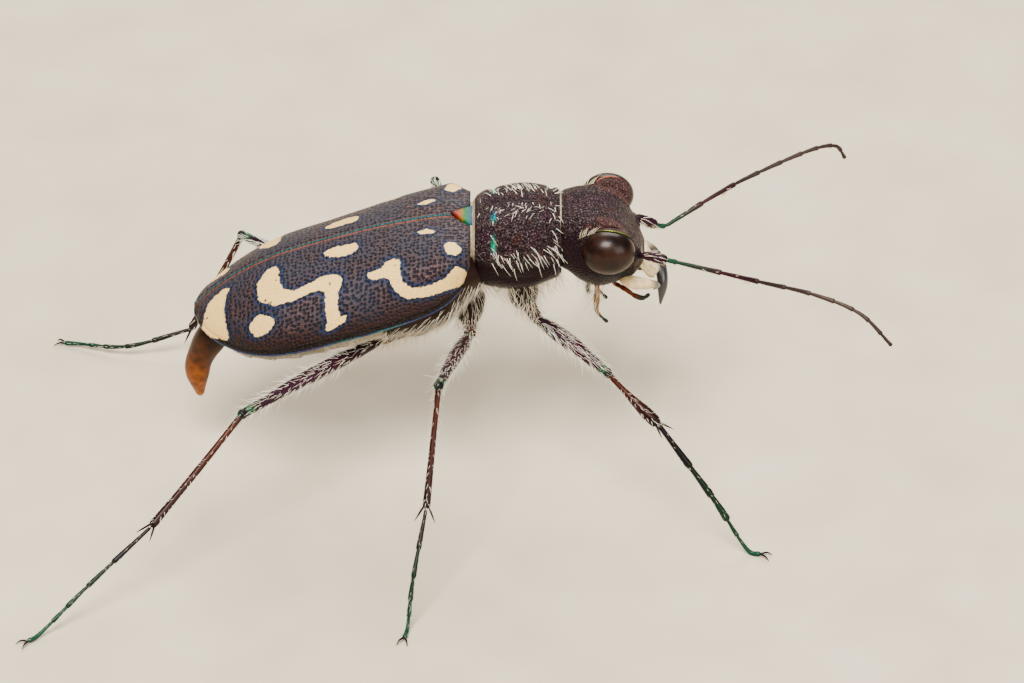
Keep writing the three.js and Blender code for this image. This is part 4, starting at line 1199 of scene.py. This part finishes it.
def leg_pieces(name):
    """The rings of a leg's segments with the station range that colours each."""
    hip, trochanter, knee, ankle, instep, toe = (np.array(p) for p in LEGS[name])
    kind = name.split("_")[0]
    coxa_half, femur_half, tibia_half, tarsus_half = LEG_HALF[kind]
    thigh = unit(knee - trochanter)
    shin = unit(ankle - knee)
    up = np.array([0, 0, 1.0])
    if kind == "middle":
        inner = hip * np.array([1, 0.72, 1]) + np.array([0.12, 0, 0.95])
        coxa = limb([inner, hip + np.array([0.02, 0, 0.25]), hip - 0.2 * up], coxa_half, 26, 24)
    else:
        coxa = egg(hip + 0.2 * up, coxa_half + 0.16 * up, 26, 24)
    joint = limb([hip, trochanter, trochanter + 0.12 * thigh], [0.26, 0.2, 0.17], 18, 16)
    bow = 0.06 * up
    femur = limb([trochanter - 0.05 * thigh, (trochanter + knee) / 2 + bow, knee],
                 femur_half, 34, 20, 0.9)
    tibia = limb([knee + 0.02 * shin, (knee + ankle) / 2 - bow / 2, ankle], tibia_half, 34, 16)
    pieces = [("coxa", coxa, 0.0, 0.06), ("trochanter", joint, 0.06, 0.12),
              ("femur", femur, 0.14, 0.5), ("knee", egg(knee, (0.15,) * 3, 12, 14), 0.458, 0.475),
              ("tibia", tibia, 0.5, 0.74)]
    across = unit(np.cross(shin, up))
    for side in (-1, 1):
        root = ankle - 0.06 * shin + 0.08 * side * across
        tip = root + 0.5 * unit(shin + 0.5 * side * across)
        pieces.append(("spur", limb([root, tip], [0.035, 0.028, 0.004], 10, 8), 0.72, 0.74))
    heading = unit((toe - instep) * np.array([1, 1, 0]))
    heel = toe - 0.4 * heading + 0.05 * up
    line = smooth_path([ankle, instep, heel, toe], 200)
    for low, high, half in zip(TARSOMERES, TARSOMERES[1:], tarsus_half):
        spots = stretch(line, low - 0.03, high + 0.012)
        rings = limb(spots, [half * 0.6, half * 0.68, half * 0.85, half], 16, 12)
        pieces.append(("tarsomere", rings, 0.76 + 0.24 * low, 0.76 + 0.24 * high))
    across = unit(np.cross(heading, up))
    for side in (-1, 1):
        middle = toe + 0.16 * heading + 0.1 * side * across + 0.03 * up
        tip = toe + 0.3 * heading + 0.16 * side * across - 0.07 * up
        root = toe - 0.03 * heading
        pieces.append(("claw", limb([root, middle, tip], [0.035, 0.028, 0.006], 12, 8), 0.8, 0.8))
    return pieces


class BEETLE_OT_legs(bpy.types.Operator):
    """Six legs, each from the hip to the claws"""
    bl_idname = "beetle.legs"
    bl_label = "Legs"

    def execute(self, context):
        make_materials(context.scene.beetle)
        for name in LEGS:
            parts = [graded(*piece) for piece in leg_pieces(name)]
            nodes = [f"leg_{name}_{part}" for part in ("coxa", "femur", "tibia", "tarsus")]
            finished(joined(f"leg_{name}", parts), MATERIALS["leg"], "leg", *nodes)
        return {"FINISHED"}


# Hairs of the whole animal

class BEETLE_OT_hairs(bpy.types.Operator):
    """White hairs and bristles on the body, legs, head and feelers"""
    bl_idname = "beetle.hairs"
    bl_label = "Hairs"

    def execute(self, context):
        settings = context.scene.beetle
        make_materials(settings)
        rng = np.random.default_rng(settings.seed)
        self.body_hairs(settings, rng)
        self.leg_hairs(settings, rng)
        self.head_hairs(settings, rng)
        return {"FINISHED"}

    def body_hairs(self, settings, rng):
        """Hairs on the prothorax and the trunk."""
        points, _, _ = prothorax_grid(80, 120)
        angle = around(120)[None]
        x, y = points[..., 0], points[..., 1]
        lift = np.sin(angle)
        upper = lift > 0
        beside = bump(np.abs(y), 0.26, 0.16) * bump(x, 1.3, 0.75) * upper
        rows = bump(np.abs(y), 0.55, 0.14) * bump(x, 1.5, 0.5) * upper
        edges = (bump(x, 2.3, 0.1) + 0.25 * bump(x, 0.6, 0.12)) * upper * bump(np.abs(y), 0.9, 0.7)
        fringe = bump(lift, 0.3, 0.17) * np.clip((x - 0.35) / 0.2, 0, 1) * upper
        # Where, how many, length, lean on the left, rise, bend and spread
        kinds = ((beside, 30, 0.3, (-0.25, 0.9, 0), 0.5, (0, 0, -0.2), 0.3),
                 (rows, 24, 0.34, (-0.5, 0.7, -0.3), 0.4, (0, 0, -0.2), 0.25),
                 (edges, 26, 0.32, (0.5, 0.5, -0.4), 0.5, (0, 0, -0.2), 0.3),
                 (fringe, 50, 0.34, (0.5, 0.5, -0.75), 0.5, (0.2, 0, -0.3), 0.3))
        groups = [tufts(points, where * (y * side > 0), count, rng, length,
                        mirrored(lean, side), *rest)
                  for where, count, length, lean, *rest in kinds for side in SIDES.values()]
        hairs("prothorax_hairs", groups, MATERIALS["hair"], settings.hair_radius * 0.82)
        under = np.clip(-lift * 2 - 0.95, 0, 1)
        breast = tufts(points, under, 520, rng, 0.7, (0.35, 0, -1), 0.9, (0.2, 0, -0.3), 0.3)
        trunk = trunk_grid(120, 120)
        x = trunk[..., 0]
        below = np.clip(-np.sin(angle) * 3, 0, 1)
        chest = tufts(trunk, below * (x > -2.4), 1700, rng, 0.42, (-0.75, 0, -0.65), 0.22,
                      (-0.1, 0, -0.2), 0.16)
        hairs("breast_hairs", [breast, chest], MATERIALS["fringe"], settings.hair_radius * 0.62)
        where = below * (x <= -2.3) * (x > -6.8) * (0.35 + bump(np.abs(np.cos(angle)), 1.0, 0.4))
        belly = tufts(trunk, where, 3000, rng, 0.2, (-1, 0, -0.1), 0.08, (0, 0, -0.03), 0.1)
        hairs("belly_hairs", [belly], MATERIALS["fringe"], settings.hair_radius * 0.55, 3)

    def leg_hairs(self, settings, rng):
        """Rows of white hairs on the thighs, and finer bristles on the shins and feet."""
        for name in LEGS:
            groups, fine = [], []
            for label, rings, _, _ in leg_pieces(name):
                if label == "femur":
                    share = np.linspace(0, 1, len(rings))[:, None]
                    body = np.clip((0.93 - share) / 0.08, 0, 1)
                    groups.append(tufts(rings, body, 320, rng, 0.4, 1.0, 0.3, (0, 0, -0.02), 0.14))
                    groups.append(tufts(rings, body, 170, rng, 0.48, 1.0, 0.85,
                                        (0, 0, -0.05), 0.22))
                elif label == "tibia":
                    groups.append(tufts(rings, 1.0, 105, rng, 0.26, 1.0, 1.6, spread=0.15))
                elif label == "tarsomere":
                    fine.append(tufts(rings, 1.0, 22, rng, 0.14, 1.0, 0.5, spread=0.15))
                elif label in ("coxa", "trochanter"):
                    fine.append(tufts(rings, 1.0, 190, rng, 0.45, (-0.1, 0, -1), 0.5,
                                      (0, 0, -0.2), 0.3))
            hairs(f"leg_{name}_hairs", groups, MATERIALS["hair"], settings.hair_radius * 0.54)
            hairs(f"leg_{name}_fine_hairs", fine, MATERIALS["fringe"],
                  settings.hair_radius * 0.5, 3)

    def head_hairs(self, settings, rng):
        """Bristles behind the eyes, on the first feeler joint, the palps and the cheeks."""
        groups = []
        for side in SIDES.values():
            for k in range(BROW_BRISTLES):
                share = k / (BROW_BRISTLES - 1)
                root = [3.06 + 0.38 * share, 1.33 - 0.06 * share, 8.2 + 0.13 * share]
                root = mirrored(root, side)
                way = np.array([-0.2 + 0.7 * share, side * 0.1, 1.0]) + rng.normal(0, 0.08, 3)
                groups.append((root[None], way[None], np.array([[0.25, 0, -0.1]]),
                               rng.uniform(0.3, 0.42, 1), np.array([[0.3 + 0.04 * k, 0.5]])))
        for name, path in FEELERS.items():
            line = smooth_path(path, 400)
            scape = limb(stretch(line, 0.01, 0.1), [0.12, 0.14, 0.14, 0.1], 16, 12)
            groups.append(tufts(scape, 1.0, 34, rng, 0.32, 1.0, 0.45, spread=0.15))
            stem = limb(stretch(line, 0.14, 0.45), [0.08, 0.08, 0.08], 30, 10)
            groups.append(tufts(stem, 1.0, 20, rng, 0.14, 1.0, 0.7, spread=0.15))
            root = line[int(399 * (FEELER_KNOTS[4] - 0.045))]
            brush = limb([root, root + np.array([-0.03, 0, -0.16])], [0.05, 0.06, 0.04], 8, 8)
            groups.append(tufts(brush, 1.0, 26, rng, 0.16, (-0.1, 0, -1), 0.4, spread=0.15))
        hairs("head_bristles", groups, MATERIALS["bristle"], settings.hair_radius * 0.8)
        long = []
        for side in SIDES.values():
            path, half, *_ = PALPS["labial_palp"]
            palp = limb(mirrored(path, -side), half, 24, 10)
            long.append(tufts(palp, np.linspace(1, 0, 24)[:, None], 46, rng, 0.55,
                              (-0.5, side * 0.3, -0.6), 0.6, (0.1, 0, -0.2), 0.35))
        skull, _ = head_grid(60, 80)
        cheeks = (skull[..., 2] < 6.6) * (skull[..., 0] > 2.6)
        long.append(tufts(skull, cheeks, 160, rng, 0.5, (0.2, 0, -1), 0.6, (0.1, 0, -0.25), 0.35))
        hairs("face_hairs", long, MATERIALS["fringe"], settings.hair_radius * 0.45)


# Stage

def aim(thing, target):
    """Turns a lamp or camera to look at a point."""
    way = Vector(target) - thing.location
    thing.rotation_euler = way.to_track_quat("-Z", "Y").to_euler()


class BEETLE_OT_stage(bpy.types.Operator):
    """A plain pale floor, soft studio light and the camera"""
    bl_idname = "beetle.stage"
    bl_label = "Stage"

    def execute(self, context):
        settings = context.scene.beetle
        bpy.ops.object.select_all(action="DESELECT")
        bpy.ops.mesh.primitive_plane_add(size=2.0, location=(0, 0, -0.00001))
        floor = bpy.context.object
        floor.name = "floor"
        made, tree, shader = material("pale_floor", Roughness=0.85)
        stops = [(0.3, settings.floor_hex), (0.8, "#cabfab")]
        wire(tree, shader, Base_Color=ramp(tree, noise(tree, 3.0), stops))
        floor.data.materials.append(made)
        world = bpy.data.worlds.new("studio")
        context.scene.world = world
        world.use_nodes = True
        sky = world.node_tree.nodes["Background"]
        sky.inputs["Color"].default_value = colour("#f4f1ec")
        sky.inputs["Strength"].default_value = settings.ambient
        target = np.array(metres(CAMERA_TARGET), float)
        for name, place, size, power in LAMPS:
            light = bpy.data.lights.new(name, "AREA")
            light.size = size
            light.energy = power * settings.lamp_power
            light.color = colour("#fff8ee")[:3]
            lamp = bpy.data.objects.new(name, light)
            lamp.location = place
            context.scene.collection.objects.link(lamp)
            aim(lamp, target)
        lens = bpy.data.cameras.new("camera")
        lens.sensor_width = SENSOR_WIDTH
        lens.lens = PIXELS_PER_MM * CAMERA_DISTANCE * SENSOR_WIDTH / PICTURE_WIDTH
        lens.clip_start = 0.01
        lens.clip_end = 10.0
        camera = bpy.data.objects.new("camera", lens)
        tilt = math.radians(CAMERA_ELEVATION)
        away = np.array([0, -math.cos(tilt), math.sin(tilt)])
        camera.location = target + CAMERA_DISTANCE * MM * away
        context.scene.collection.objects.link(camera)
        aim(camera, target)
        context.scene.camera = camera
        return {"FINISHED"}


# Settings, panel and registration

class BeetleSettings(bpy.types.PropertyGroup):
    """What a user may change"""
    pit_spacing: bpy.props.FloatProperty(
        name="Pit spacing", default=0.125, min=0.05, max=0.5,
        description="Distance between the wing case pits, in millimetres")
    grain_size: bpy.props.FloatProperty(
        name="Grain size", default=0.07, min=0.02, max=0.3,
        description="Size of the grains on head and prothorax, in millimetres")
    hair_radius: bpy.props.FloatProperty(
        name="Hair radius", default=0.013, min=0.002, max=0.05,
        description="Half thickness of a hair at its root, in millimetres")
    hair_hex: bpy.props.StringProperty(
        name="Hair colour", default="#ece4d3",
        description="Colour of the white hairs, as an sRGB hex value")
    floor_hex: bpy.props.StringProperty(
        name="Floor colour", default="#bdb19b",
        description="Colour of the floor, as an sRGB hex value")
    seed: bpy.props.IntProperty(
        name="Seed", default=7, description="Seed of the random hair places")
    ambient: bpy.props.FloatProperty(
        name="Ambient", default=0.22, min=0.0, max=3.0,
        description="Strength of the light from all round")
    lamp_power: bpy.props.FloatProperty(
        name="Lamp power", default=1.4, min=0.0, unit="POWER",
        description="Power that the lamps share out, in watts")


PIECES = (BEETLE_OT_stage, BEETLE_OT_wing_cases, BEETLE_OT_trunk, BEETLE_OT_head, BEETLE_OT_mouth,
          BEETLE_OT_feelers, BEETLE_OT_legs, BEETLE_OT_hairs)


class BEETLE_PT_panel(bpy.types.Panel):
    """The beetle's settings and pieces"""
    bl_label = "Beetle"
    bl_idname = "BEETLE_PT_panel"
    bl_space_type = "VIEW_3D"
    bl_region_type = "UI"
    bl_category = "Beetle"

    def draw(self, context):
        for key in BeetleSettings.__annotations__:
            self.layout.prop(context.scene.beetle, key)
        for piece in PIECES:
            self.layout.operator(piece.bl_idname)


CLASSES = (BeetleSettings, *PIECES, BEETLE_PT_panel)


def register():
    for item in CLASSES:
        bpy.utils.register_class(item)
    bpy.types.Scene.beetle = bpy.props.PointerProperty(type=BeetleSettings)


def unregister():
    del bpy.types.Scene.beetle
    for item in reversed(CLASSES):
        bpy.utils.unregister_class(item)


def main():
    """Makes every piece in order."""
    register()
    for item in PIECES:
        group, name = item.bl_idname.split(".")
        getattr(getattr(bpy.ops, group), name)()


if __name__ == "__main__":
    main()
